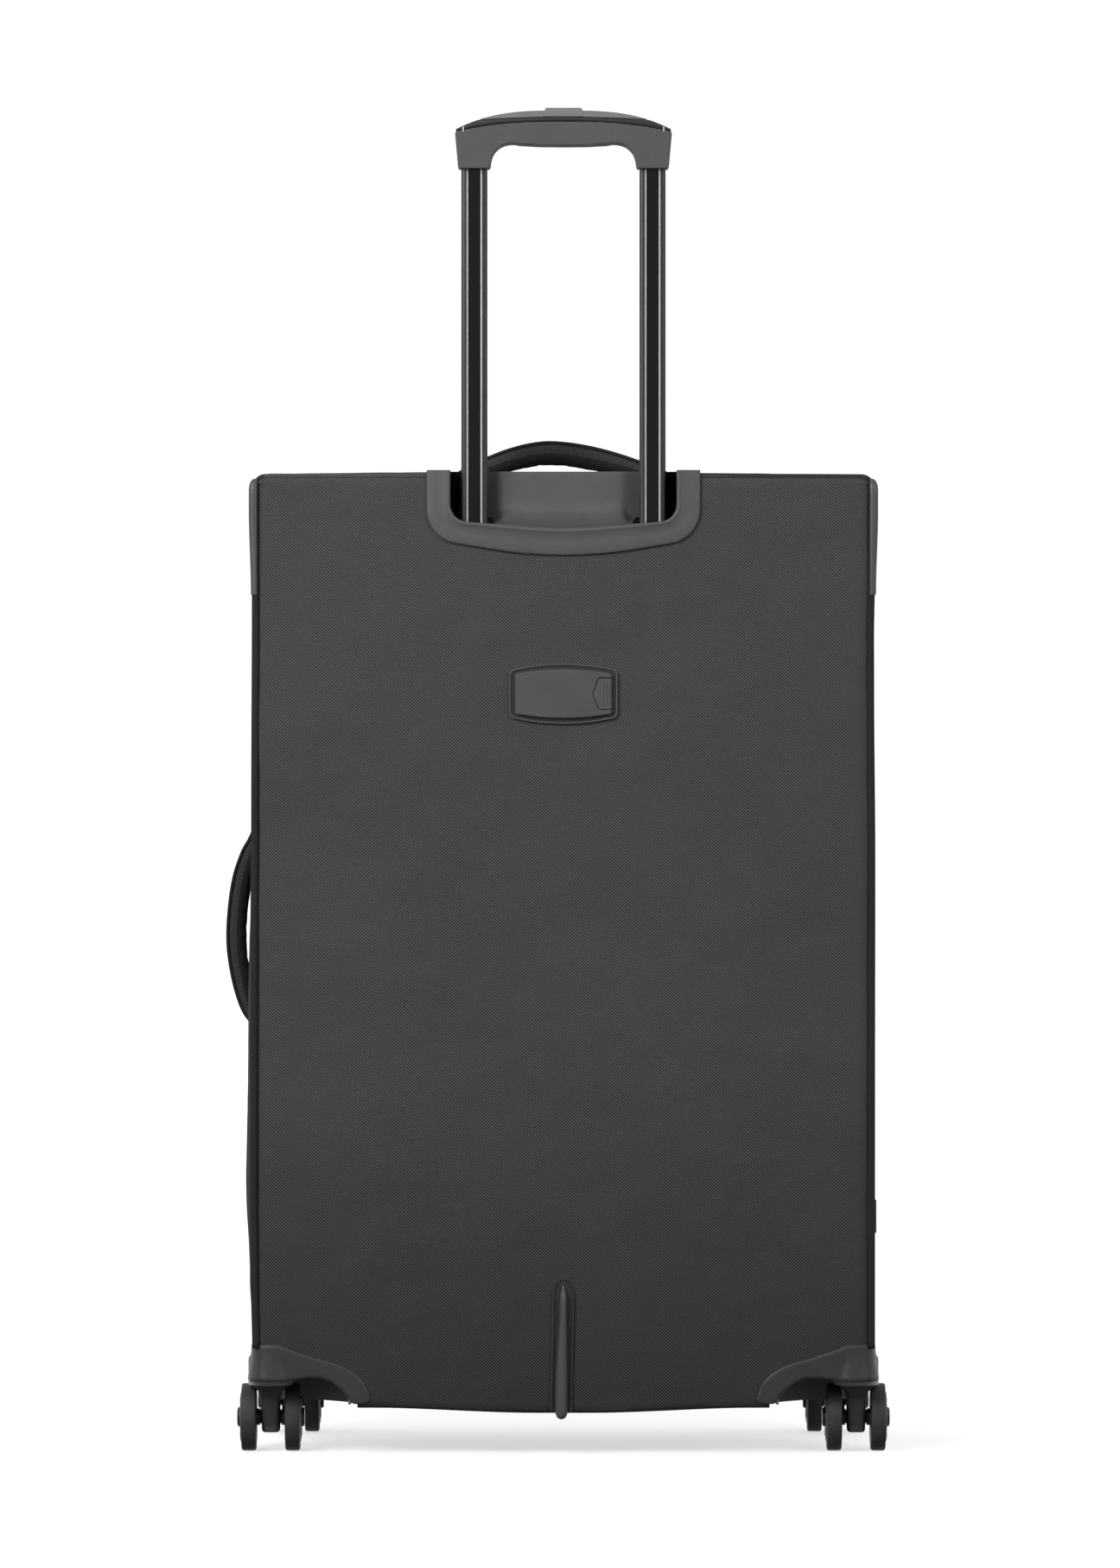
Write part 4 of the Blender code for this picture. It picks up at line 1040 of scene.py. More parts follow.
WELL_OUTER = (0.107, 0.6996, 0.0175, 0.027)  # half width, lowest point, how far its ends rise, corner radius
WELL_INNER = (0.0887, 0.7240, 0.0075, 0.014)
WELL_TOP = 0.771
CUP_WALL, CUP_CORNER = BACK + 0.0345, BACK + 0.0390


def well_edge(half, low, rise, radius, count=161):
    """The well's U: up one side, round the bowed bottom and up the other."""
    corners = [(-half, WELL_TOP, 0), (-half, low + rise, radius), (0, low, 0.35), (half, low + rise, radius)]
    return resampled(rounded(corners + [(half, WELL_TOP, 0)], 8), count)


def holes_filled(item):
    shape = bmesh.new()
    shape.from_mesh(item.data)
    bmesh.ops.holes_fill(shape, edges=shape.edges, sides=0)
    shape.to_mesh(item.data)
    shape.free()
    return item


def make_bezel():
    """The well's moulded flange, with a thin raised lip round its opening."""
    outer, inner = well_edge(*WELL_OUTER), well_edge(*WELL_INNER)
    face = BACK - 0.0003
    profile = [
        (0.00, 0.0008), (0.00, -0.0017), (0.03, -0.0024), (0.09, -0.0028), (0.45, -0.0030), (0.80, -0.0028),
        (0.84, -0.0033), (0.90, -0.0038), (0.96, -0.0037), (1.00, -0.0028), (1.01, 0.0000), (1.01, 0.0050),
        (0.88, 0.0050), (0.88, 0.0015),
    ]
    rows = []
    for share, depth in profile:
        rows.append([
            Vector((a[0] + (b[0] - a[0]) * share, face + depth, a[1] + (b[1] - a[1]) * share))
            for a, b in zip(outer, inner)
        ])
    made = holes_filled(loft("well_bezel", rows, BEZEL, around=True))
    cleaned(made, 50)
    return put(made, "case", "moulded_plastic", "handle_well")


def make_cup():
    """The well's wall, set back at its corners, with a floor that curves forward to the lip. Its deep corners and the
    sockets round the tubes are near-black as painted shade.
    """
    edge = well_edge(*WELL_INNER, count=241)
    half = WELL_INNER[0]
    plan = [(half, y) for y in spread(BACK + 0.0010, CUP_CORNER - 0.004, 6)]
    plan += [(half - 0.0012, CUP_CORNER - 0.0012)]
    plan += [(x, CUP_CORNER) for x in spread(half - 0.004, 0.0620, 9)]
    plan += [(0.0600, CUP_CORNER), (0.0575, CUP_CORNER - 0.0012), (0.0500, CUP_WALL + 0.0012), (0.0470, CUP_WALL)]
    plan += [(x, CUP_WALL) for x in spread(0.0440, 0.0, 14)]
    plan = [(-x, y) for x, y in plan] + list(reversed(plan))[1:]
    rows = []
    for x, y in plan:
        low = min(z for u, z in edge if abs(u - x) < 0.0024) + 0.0004
        radius = 0.0175 - 0.0135 * smoothstep(0.0460, 0.0530, abs(x))
        column = [Vector((x, y, z)) for z in spread(WELL_TOP - 0.0004, low + radius, 9)]
        for k in range(1, 9):
            turn = k * math.pi / 16
            ahead = (y - BACK) * (1 - math.cos(turn))
            column.append(Vector((x, y - ahead, low + radius * (1 - math.sin(turn)))))
        rows.append(column)
    made = loft("well_cup", rows, CUP)
    middle = made.data.polygons[len(made.data.polygons) // 2]
    if middle.normal.y > 0:
        made.data.flip_normals()
    made.data.materials.append(PAINTED_SHADE_BLACK)
    # Painted shade: the faces in the well's deep corners take the near-black colour.
    for face in made.data.polygons:
        if abs(face.center.x) > 0.0612:
            face.material_index = 1
    modify(made, "SOLIDIFY", thickness=0.0025, offset=-1)
    applied(made)
    made.data.set_sharp_from_angle(angle=math.radians(55))
    put(made, "case", "moulded_plastic")
    # Painted shade: near-black funnels round the tubes' feet stand in for the dark sockets.
    for side in (-1, 1):
        rows = []
        for z, wide in ((0.7345, 0.0132), (0.7330, 0.0142), (0.7305, 0.0154), (0.7280, 0.0166), (0.7255, 0.0178)):
            ahead = 0.0070 - 1.1 * (0.7345 - z)
            rows.append([Vector((side * TUBE_X + u, TUBE_Y + ahead + v, z)) for u, v in squarish(wide, 0.008, 5, 40)])
        collar = loft(f"tube_socket_painted_shade_{side_of(side)}", rows, PAINTED_SHADE_BLACK, closed=True, ends=True)
        put(cleaned(collar, 50), "case", "moulded_plastic")


def side_of(side):
    return "right" if side > 0 else "left"


# ---- The telescopic handle -------------------------------------------------------------

GRIP_TOP, GRIP_DROP = 1.0523, 0.0147
GROOVE_AT, GROOVE_WIDE = 0.0053, 0.0008


def grooved(half_u, half_v, groove_at, groove_wide, groove_deep):
    """A tube's section with two lengthwise grooves in each broad face."""
    low = []
    for middle in (groove_at, -groove_at):
        low += [(middle + groove_wide, -half_v, 0), (middle + groove_wide * 0.45, -half_v + groove_deep, 0)]
        low += [(middle - groove_wide * 0.45, -half_v + groove_deep, 0), (middle - groove_wide, -half_v, 0)]
    high = [(-u, -v, radius) for u, v, radius in low]
    return rounded([(half_u, -half_v, 0.0024)] + low + [(-half_u, -half_v, 0.0024)] +
                   [(-half_u, half_v, 0.0024)] + high + [(half_u, half_v, 0.0024)], 5)


def make_tubes():
    for side in (-1, 1):
        section = grooved(0.0103, 0.0070, GROOVE_AT, GROOVE_WIDE, 0.0005)
        rows = []
        for z in (TUBE_LOW.z, TUBE_HIGH.z):
            rows.append([Vector((side * TUBE_X + u, TUBE_Y + v, z)) for u, v in section])
        made = loft(f"pull_tube_{side_of(side)}", rows, TUBE, closed=True, ends=True)
        cleaned(made, 20)
        made.data.materials.append(TUBE_SIDE_PAINTED_REFLECTION)
        made.data.materials.append(PAINTED_HIGHLIGHT)
        # Painted highlight: the groove walls take the near-white colour, which stands in for the bright reflected
        # lines.
        for face in made.data.polygons:
            # Painted reflection: the side faces and the strips outside the grooves take the lighter grey.
            aside = abs(face.center.x - side * TUBE_X)
            if aside > GROOVE_AT + GROOVE_WIDE * 0.8 or abs(face.normal.x) > 0.9:
                face.material_index = 1
            elif aside > GROOVE_AT - GROOVE_WIDE * 0.6:
                face.material_index = 2
        put(made, "trolley", "tube_metal", f"inner_tube_{side_of(side)}")


def grip_top(x):
    return GRIP_TOP - GRIP_DROP * abs(x / 0.0845) ** 3


def cap_under(x):
    return 1.0474 - 0.0022 * (x / 0.0656) ** 2


def band_under(x):
    return 1.0440 - 0.0080 * abs(x / 0.0845) ** 2.5


def make_grip():
    """The moulded grip: a grained body with two legs, a dark band and a fine light cap round the button."""
    xs = spread(-0.0843, 0.0843, 41)
    corners = [
        (0.0850, 1.0350, 0), (0.0825, 1.0070, 0.0012), (0.0572, 1.0070, 0.0012), (0.0548, 1.0262, 0.0155),
        (0.0380, 1.0264, 0), (0.0340, 1.0256, 0), (0.0180, 1.0248, 0), (0.0, 1.0246, 0),
    ]
    right = [(x, z, r) for x, z, r in corners]
    left = [(-x, z, r) for x, z, r in reversed(corners[:-1])]
    outline = [(x, band_under(x) - 0.0002) for x in xs] + rounded(right + left, 5)
    low, high = TUBE_Y - 0.0140, TUBE_Y + 0.0140
    body = fused("grip_moulding", [slab("grip_block", outline, low, high, GRIP)], 0.0009, 5, GRIP)
    carved(body, (-0.0152, TUBE_Y - 0.0071, 1.0390), (0.0152, TUBE_Y + 0.0071, 1.0600))
    put(body, "trolley", "dark_plastic", "grip_body")
    band_outline = [(x, min(cap_under(x), grip_top(x)) - 0.0001) for x in xs] + [(x, band_under(x)) for x in xs[::-1]]
    band = slab("grip_band_strip", band_outline, low + 0.0004, high - 0.0004, GRIP_DARK, 0.0008, 3, 60)
    carved(band, (-0.0152, TUBE_Y - 0.0071, 1.0390), (0.0152, TUBE_Y + 0.0071, 1.0600))
    put(band, "trolley", "dark_plastic", "grip_band")
    halves = []
    for side in (-1, 1):
        inner = 0.0155
        places = [x for x in spread(inner, 0.0652, 24)]
        outline = [(side * x, grip_top(x)) for x in places] + [(side * x, cap_under(x)) for x in reversed(places)]
        halves.append(slab(f"cap_half_{side_of(side)}", outline, low + 0.0006, high - 0.0006, GRIP_CAP, 0.0011, 4, 60))
    for edge in (-1, 1):
        y_low, y_high = sorted((TUBE_Y + edge * 0.0072, TUBE_Y + edge * 0.0134))
        outline = [(-0.0156, GRIP_TOP), (0.0156, GRIP_TOP), (0.0156, cap_under(0.0)), (-0.0156, cap_under(0.0))]
        halves.append(slab(f"cap_bridge_{edge}", outline, y_low, y_high, GRIP_CAP, 0.0008, 3, 60))
    put(joined("grip_cap_top", halves), "trolley", "grip_cap_plastic", "grip_cap")
    # Painted glints: two small near-white patches on the band's ends stand in for highlights.
    for side in (-1, 1):
        outline = [(side * x, z) for x, z in ((0.0779, 1.0398), (0.0790, 1.0394), (0.0790, 1.0356), (0.0779, 1.0358))]
        glint = slab(f"painted_glint_{side_of(side)}", outline, low - 0.0001, low + 0.0010, PAINTED_HIGHLIGHT, 0.0003, 2, 60)
        put(glint, "trolley", "dark_plastic")


def make_inside():
    """The lined covers over the caster housings, and the binding over the seam of the expansion sleeve."""
    start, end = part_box("bottom_tray")[0].y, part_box("bottom_tray")[1].y
    for side in (-1, 1):
        outline = [(0.1424, 0.0914), (0.2380, 0.0914), (0.2380, 0.0904), (0.1434, 0.0904), (0.1434, 0.0840),
                   (0.1424, 0.0840)]
        cover = slab(f"caster_cover_{side_of(side)}", [(side * x, z) for x, z in outline], start, end,
                     SOLID_LINING)
        put(cover, "case", "lining_fabric")
    make_band("sleeve_binding", "front_section", 0.2384, 0.0916, 0.7629, RING_LOW.y - 0.0030, RING_LOW.y + 0.0035,
              TAPE, "lining_fabric", swell=0.0, thick=0.0028)


def make_spring():
    """The button's spring, a coil of wire."""
    low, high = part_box("button_spring")
    middle, wire = (low + high) / 2, 0.0004
    radius, turns, each = (high.x - low.x) / 2 - wire, 5, 20
    rise = (high.z - low.z - 2 * wire) / (turns * each)
    path = []
    for i in range(turns * each + 1):
        turn = 2 * math.pi * i / each
        out = Vector((math.cos(turn), math.sin(turn), 0))
        path.append((Vector((middle.x, middle.y, low.z + wire + rise * i)) + out * radius, out, Vector((0, 0, 1))))
    made = tube_along("button_coil", path, circle(wire, 8), STEEL)
    put(made, "trolley", "steel", "button_spring")
    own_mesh(made)


# ---- Trim on the back ------------------------------------------------------------------

TAG_Z = 0.596


def bowed(half, mid, end, radius, count=11):
    """An outline about the tag's middle whose top and bottom bow outwards."""
    inner = spread(-half * 0.80, half * 0.80, count)
    top = [(x, mid - (mid - end) * (x / half) ** 2, 0) for x in inner]
    corners = top + [(half, end, radius), (half, -end, radius)]
    corners += [(x, -z, 0) for x, z, _ in reversed(top)] + [(-half, -end, radius), (-half, end, radius)]
    return [(x, z + TAG_Z) for x, z in rounded(corners, 6)]


def ring_between(name, outer, inner, low, high, material, round_by):
    """A flat frame between two closed outlines with the same number of points."""
    rows = []
    for outline, depth, share in (
        (outer, high, 0.0), (outer, low + round_by, 0.0), (outer, low + round_by * 0.3, 0.25), (outer, low, 0.5),
        (inner, low, 0.5), (inner, low + round_by * 0.3, 0.25), (inner, low + round_by, 0.0), (inner, high, 0.0),
    ):
        other = inner if outline is outer else outer
        rows.append([
            Vector((a[0] + (b[0] - a[0]) * share * 0.5, depth, a[1] + (b[1] - a[1]) * share * 0.5))
            for a, b in zip(outline, other)
        ])
    return cleaned(loft(name, rows, material, closed=True, around=True), 60)


def make_tag():
    """The address tag: a stitched frame with a thin lip, and a plate whose tray slides out by its tab."""
    face = BACK - 0.0003
    outer, groove = bowed(0.0425, 0.0237, 0.0187, 0.0052), bowed(0.0411, 0.0223, 0.0173, 0.0042)
    base = slab("tag_base", outer, face - 0.0013, face, RAIL, 0.0004, 2, 60)
    lip = ring_between("tag_lip", resampled(outer, 160, True), resampled(groove, 160, True), face - 0.0026, face,
                       TAG, 0.0008)
    well = bowed(0.0392, 0.0204, 0.0168, 0.0030)
    step = slab("tag_step", well, face - 0.0016, face - 0.0005, RAIL, 0.0002, 2, 60)
    window = [(0.0378, 0.0124), (0.0277, 0.0124), (0.0226, 0.0), (0.0277, -0.0124), (0.0378, -0.0124)]
    plate = []
    outline = bowed(0.0378, 0.0192, 0.0157, 0.0022)
    for i, point in enumerate(outline):
        plate.append(point)
        after = outline[(i + 1) % len(outline)]
        if abs(point[0] - 0.0378) < 1e-6 and abs(after[0] - 0.0378) < 1e-6 and point[1] > TAG_Z > after[1]:
            plate += [(x, z + TAG_Z) for x, z in window]
    cover = slab("tag_cover", plate, face - 0.0050, face - 0.0012, TAG, 0.0011, 4, 60)
    seam = bowed(0.0399, 0.0212, 0.0164, 0.0034)
    frame = joined("tag_holder", [base, lip, step, cover])
    put(frame, "case", "moulded_plastic", "tag_frame")
    seam = resampled(seam, 200, True)
    thread = stitches("tag_stitches", [(x, face - 0.0015, z) for x, z in seam], [(0, -1, 0)] * 200,
                      0.0019, 0.0027, 0.0007, closed=True)
    put(thread, "case", "moulded_plastic")

    tab = [(0.0230, 0.0), (0.0281, 0.0119), (0.0376, 0.0119), (0.0376, -0.0119), (0.0281, -0.0119)]
    pieces = [slab("tab_face", [(x, z + TAG_Z) for x, z in tab], face - 0.0046, face - 0.0028, TAG, 0.0005, 3, 50)]
    for x in (0.0300, 0.0326, 0.0352):
        ridge = [(x, 0.0092), (x + 0.0012, 0.0092), (x + 0.0012, -0.0092), (x, -0.0092)]
        pieces.append(slab(f"tab_ridge_{x:.4f}", [(u, v + TAG_Z) for u, v in ridge], face - 0.0053, face - 0.0040,
                           TAG, 0.0004, 3, 50))
    card = [(-0.0335, 0.0127), (0.0376, 0.0127), (0.0376, -0.0127), (-0.0335, -0.0127)]
    pieces.append(slab("tray_blade", [(x, z + TAG_Z) for x, z in card], face - 0.0037, face - 0.0028, INNER, 0.0002, 2))
    put(joined("tag_slide", pieces), "tag_tray", "moulded_plastic", "tag_tray")


def make_rail():
    """The kick rail: a stitched flange with a thin lip, and a tall rib whose upper tip is bevelled."""
    face = BACK - 0.0003

    def lean(z):
        return -0.0016 * (1 - smoothstep(0.040, 0.130, z))

    def half_flange(z):
        top = max(0.0, min(1.0, (0.1376 - z) / 0.012))
        return 0.0086 * math.sqrt(1 - (1 - top) ** 2)

    zs = [0.0345, 0.0350, 0.0360] + spread(0.040, 0.1255, 18) + [0.1290, 0.1320, 0.1345, 0.1362, 0.1371, 0.13755]
    rows = []
    for z in zs:
        half = max(0.0004, half_flange(z))
        section = [(-1.0, 0.0002), (-1.0, -0.0016), (-0.94, -0.0022), (-0.86, -0.0021), (-0.80, -0.0013),
                   (-0.55, -0.0012), (0.55, -0.0012), (0.80, -0.0013), (0.86, -0.0021), (0.94, -0.0022),
                   (1.0, -0.0016), (1.0, 0.0002)]
        rows.append([Vector((lean(z) + half * u, face + v, z)) for u, v in section])
    flange = cleaned(loft("rail_flange", rows, RAIL, closed=True, ends=True), 60)
    rows = []
    for z in [0.0287, 0.0290, 0.0300, 0.0325, 0.0360] + spread(0.042, 0.1235, 16) + [0.1265, 0.1300, 0.1330, 0.1340]:
        round_low = math.sqrt(max(0.0, 1 - ((0.0335 - z) / 0.0050) ** 2)) if z < 0.0335 else 1.0
        half = 0.0047 - 0.0018 * smoothstep(0.050, 0.124, z)
        half *= max(0.15, round_low) * (1 - 0.75 * smoothstep(0.124, 0.1342, z))
        rise = 0.0075 * (1 - 0.55 * smoothstep(0.1235, 0.1342, z)) * (0.55 + 0.45 * max(0.2, round_low))
        section = [(-1.0, 0.0), (-1.0, -0.55), (-0.80, -0.85), (-0.45, -1.0), (0.45, -1.0), (0.80, -0.85),
                   (1.0, -0.55), (1.0, 0.0)]
        rows.append([Vector((lean(z) + half * u, face + rise * v, z)) for u, v in section])
    rib = cleaned(loft("rail_rib", rows, TAG, closed=True, ends=True), 45)
    put(joined("rail", [flange, rib]), "case", "moulded_plastic", "kick_rail")
    for side in (-1, 1):
        line = [(lean(z) + side * 0.0064, face - 0.0014, z) for z in spread(0.038, 0.128, 30)]
        thread = stitches(f"rail_stitches_{side_of(side)}", line, [(0, -1, 0)] * 30, 0.0020, 0.0029, 0.0006)
        put(thread, "case", "moulded_plastic")


def make_guards():
    """The guards that wrap the upper back edges, rounded over at the top."""
    face = BACK - 0.0003
    for side in (-1, 1):
        rows = []
        for z in [0.6735, 0.6739, 0.6750] + spread(0.678, 0.7560, 16) + [0.7590, 0.7612, 0.7628, 0.7638, 0.7643]:
            over = 1 - math.sqrt(max(0.0, 1 - max(0.0, (z - 0.7560) / 0.0085) ** 2))
            outer = 0.2446 + 0.0016 * smoothstep(0.674, 0.740, z) - 0.0050 * over
            inner = 0.2396 - 0.0004 * over
            back = face - 0.0026 + 0.0046 * over
            end = -0.1180 - 0.002 * over
            plan = [(inner, back + 0.0024), (inner, back + 0.0007), (inner + 0.0006, back), (outer - 0.0028, back),
                    (outer - 0.0012, back + 0.0005), (outer - 0.0003, back + 0.0016), (outer, back + 0.0034),
                    (outer, end - 0.0006), (outer - 0.0006, end), (outer - 0.0022, end), (outer - 0.0026, back + 0.006)]
            rows.append([Vector((side * x, y, z)) for x, y in plan])
        made = cleaned(loft(f"guard_{side_of(side)}", rows, GUARD, closed=True, ends=True), 50)
        put(made, "case", "moulded_plastic", f"edge_guard_{side_of(side)}")


# ---- Casters ---------------------------------------------------------------------------

WHEEL_R, TRAIL, PITCH, TREAD_WIDE = 0.0265, 0.015, 0.0345, 0.0121
REAR_X = 0.2304
CORNERS = {
    "rear_left": (-REAR_X, -0.108),
    "rear_right": (REAR_X, -0.108),
    "front_left": (-0.220, 0.073),
    "front_right": (0.220, 0.073),
}
HOUSING_EDGE = (
    (0.2320, 0.0868), (0.2280, 0.0867), (0.2220, 0.0860), (0.2087, 0.0812), (0.1945, 0.0765), (0.1803, 0.0727),
    (0.1708, 0.0689), (0.1613, 0.0632), (0.1556, 0.0565), (0.1518, 0.0480), (0.1507, 0.0423), (0.1566, 0.0399),
    (0.1651, 0.0402), (0.1690, 0.0460), (0.1746, 0.0518), (0.1822, 0.0575), (0.1898, 0.0603), (0.2012, 0.0608),
    (0.2100, 0.0590), (0.2320, 0.0590),
)


def make_housing(corner, x, y):
    """A moulded arch over a caster, with a flared skirt round its stem and a dark liner in its recess."""
    side, shift = math.copysign(1, x), abs(x) - REAR_X
    rear = y < 0
    low, high = (BACK - 0.0018, -0.0400) if rear else (0.0115, SHELL_HIGH.y + 0.0010)
    outline = [(side * (u + shift), v) for u, v in HOUSING_EDGE]
    block = slab("housing_block", outline, low, high, HOUSING)
    rows = []
    middle_x, middle_y = side * (0.2287 + shift), -0.1115 if rear else 0.0765
    for z, flare in [(0.0870, -0.55), (0.0866, -0.20)] + [(0.0858 - 0.0282 * t, t ** 1.5) for t in spread(0, 1, 11)]:
        half_x, half_y = 0.0163 + 0.0032 * flare, 0.0305 + 0.0030 * flare
        if not rear:
            half_y *= 0.55
        rows.append([Vector((middle_x + u, middle_y + v, z)) for u, v in squarish(half_x, half_y, 3.0, 48)])
    skirt = cleaned(loft("housing_skirt", rows, HOUSING, closed=True, ends=True))
    post = turned("housing_post", [(0, 0.075), (0.0174, 0.075), (0.0174, 0.0566), (0, 0.0566)], (x, y, 0),
                  (0, 0, 1), HOUSING, 32)
    made = fused(f"caster_housing_{corner}", [block, skirt, post], 0.0014, 3, HOUSING)
    put(made, "case", "moulded_plastic", "housing_" + corner)
    plan = [Vector((u + shift, v if rear else 0.0912 - 0.82 * (v + 0.1405))) for u, v in RECESS_WALL]
    rows = []
    for k, (u, v) in enumerate(catmull(plan, 33)):
        low = 0.0398 - 0.0030 * smoothstep(0, 20, k)
        rows.append([Vector((side * u, v, z)) for z in spread(low, 0.0625, 6)])
    liner = loft(f"recess_liner_{corner}", rows, RECESS)
    modify(liner, "SOLIDIFY", thickness=0.0018, offset=0)
    applied(liner)
    put(cleaned(liner, 50), "case", "moulded_plastic")


RECESS_WALL = (
    (0.1676, -0.1405), (0.1672, -0.1180), (0.1685, -0.1000), (0.1730, -0.0820), (0.1810, -0.0660), (0.1930, -0.0545),
    (0.2090, -0.0480), (0.2304, -0.0460),
)
NECK = ((0.0560, 0.0150), (0.0527, 0.0148), (0.0500, 0.0115), (0.0470, 0.0090), (0.0420, 0.0077), (0.0200, 0.0073),
        (0.0166, 0.0072), (0.0155, 0.0067), (0.0150, 0.0058))


def make_fork(corner, x, y):
    collar = [(0, 0.0568), (0.0164, 0.0568), (0.0170, 0.0560), (0.0170, 0.0540), (0.0160, 0.0528), (0, 0.0526)]
    pieces = [turned("fork_collar", collar, (x, y, 0), (0, 0, 1), FORK, 48)]
    rows = []
    for z, half in NECK:
        behind, ahead = (y - 0.011, y + 0.0135)
        drop = smoothstep(0.0540, 0.0300, z) if z < 0.0540 else 0.0
        drop = 1 - smoothstep(0.0300, 0.0540, z)
        start = behind + drop * (y + TRAIL - 0.0115 - behind)
        end = ahead + drop * (y + TRAIL + 0.0110 - ahead)
        middle, deep = (start + end) / 2, (end - start) / 2
        rows.append([Vector((x + u, middle + v, z)) for u, v in squarish(half, deep, 4.5, 36)])
    pieces.append(cleaned(loft("fork_neck", rows, FORK, closed=True, ends=True)))
    for side in (-1, 1):
        knuckle = [(0, 0.0060), (0.0049, 0.0060), (0.0049, 0.0100), (0.0042, 0.0108), (0, 0.0108)]
        pieces.append(turned("fork_knuckle", knuckle, (x, y + TRAIL, WHEEL_R), (side, 0, 0), FORK, 28))
    made = fused(f"caster_fork_{corner}", pieces, 0.0008, 2, FORK)
    put(made, "fork_" + corner, "dark_plastic", "fork_" + corner)
    ring = [(0.0166, 0.0530), (0.0175, 0.0534), (0.0175, 0.0564), (0.0168, 0.0568)]
    band = turned(f"fork_ring_{corner}", ring, (x, y, 0), (0, 0, 1), COLLAR_RING, 48)
    put(band, "fork_" + corner, "dark_plastic")


def make_wheel(name, x, y, side):
    inner, outer = PITCH / 2 - TREAD_WIDE / 2, PITCH / 2 + TREAD_WIDE / 2
    middle = (x, y + TRAIL, WHEEL_R)
    tread = [(0.0178, outer - 0.0004), (0.0215, outer - 0.0001), (0.0252, outer - 0.0003), (0.0260, outer - 0.0008),
             (0.0264, outer - 0.0016), (WHEEL_R, (inner + outer) / 2), (0.0264, inner + 0.0016),
             (0.0260, inner + 0.0008), (0.0252, inner + 0.0003), (0.0215, inner + 0.0001), (0.0178, inner + 0.0004)]
    ring = turned(name + "_tread", tread, middle, (side, 0, 0), TREAD, 64)
    cap = [(0, outer + 0.0034), (0.0060, outer + 0.0033), (0.0072, outer + 0.0029), (0.0077, outer + 0.0020),
           (0.0080, outer + 0.0009), (0.0098, outer + 0.0006), (0.0160, outer - 0.0002), (0.0172, outer - 0.0002),
           (0.0176, outer + 0.0006), (0.0190, outer + 0.0007), (0.0200, outer + 0.0001), (0.0202, outer - 0.0030),
           (0.0190, inner + 0.0030), (0.0184, inner + 0.0010), (0.0150, inner + 0.0016), (0.0100, inner + 0.0016),
           (0.0092, inner), (0.0066, inner), (0.0066, inner - 0.0028), (0, inner - 0.0028)]
    hub = turned(name + "_hub", cap, middle, (side, 0, 0), HUB, 56)
    pieces = [ring, hub]
    turn = Vector((side, 0, 0)).to_track_quat("Z", "Y").to_matrix()
    for k in range(6):
        spin = Matrix.Rotation(k * math.pi / 3, 3, "Z")
        corners = []
        for height in (outer - 0.0010, outer + 0.0010):
            for u, v in ((0.0076, -0.0011), (0.0176, -0.0007), (0.0176, 0.0007), (0.0076, 0.0011)):
                corners.append(Vector(middle) + turn @ (spin @ Vector((u, v, height))))
        faces = [(0, 1, 2, 3), (7, 6, 5, 4), (0, 4, 5, 1), (1, 5, 6, 2), (2, 6, 7, 3), (3, 7, 4, 0)]
        rib = cleaned(make(f"{name}_rib_{k}", corners, faces, HUB), 30)
        modify(rib, "BEVEL", width=0.0003, segments=2)
        pieces.append(applied(rib))
    made = joined(name + "_round", pieces)
    put(made, name, "tyre", name)


def make_casters():
    wheel_nodes = [n for n in NODES if n.startswith("wheel_")]
    for corner, (x, y) in CORNERS.items():
        make_housing(corner, x, y)
        make_fork(corner, x, y)
        for side in (-1, 1):
            name = f"wheel_{corner}_{side_of(side)}"
            if name in wheel_nodes:
                make_wheel(name, x, y, side)


# ---- Carry handles ---------------------------------------------------------------------

HANDLE_Y = -0.022


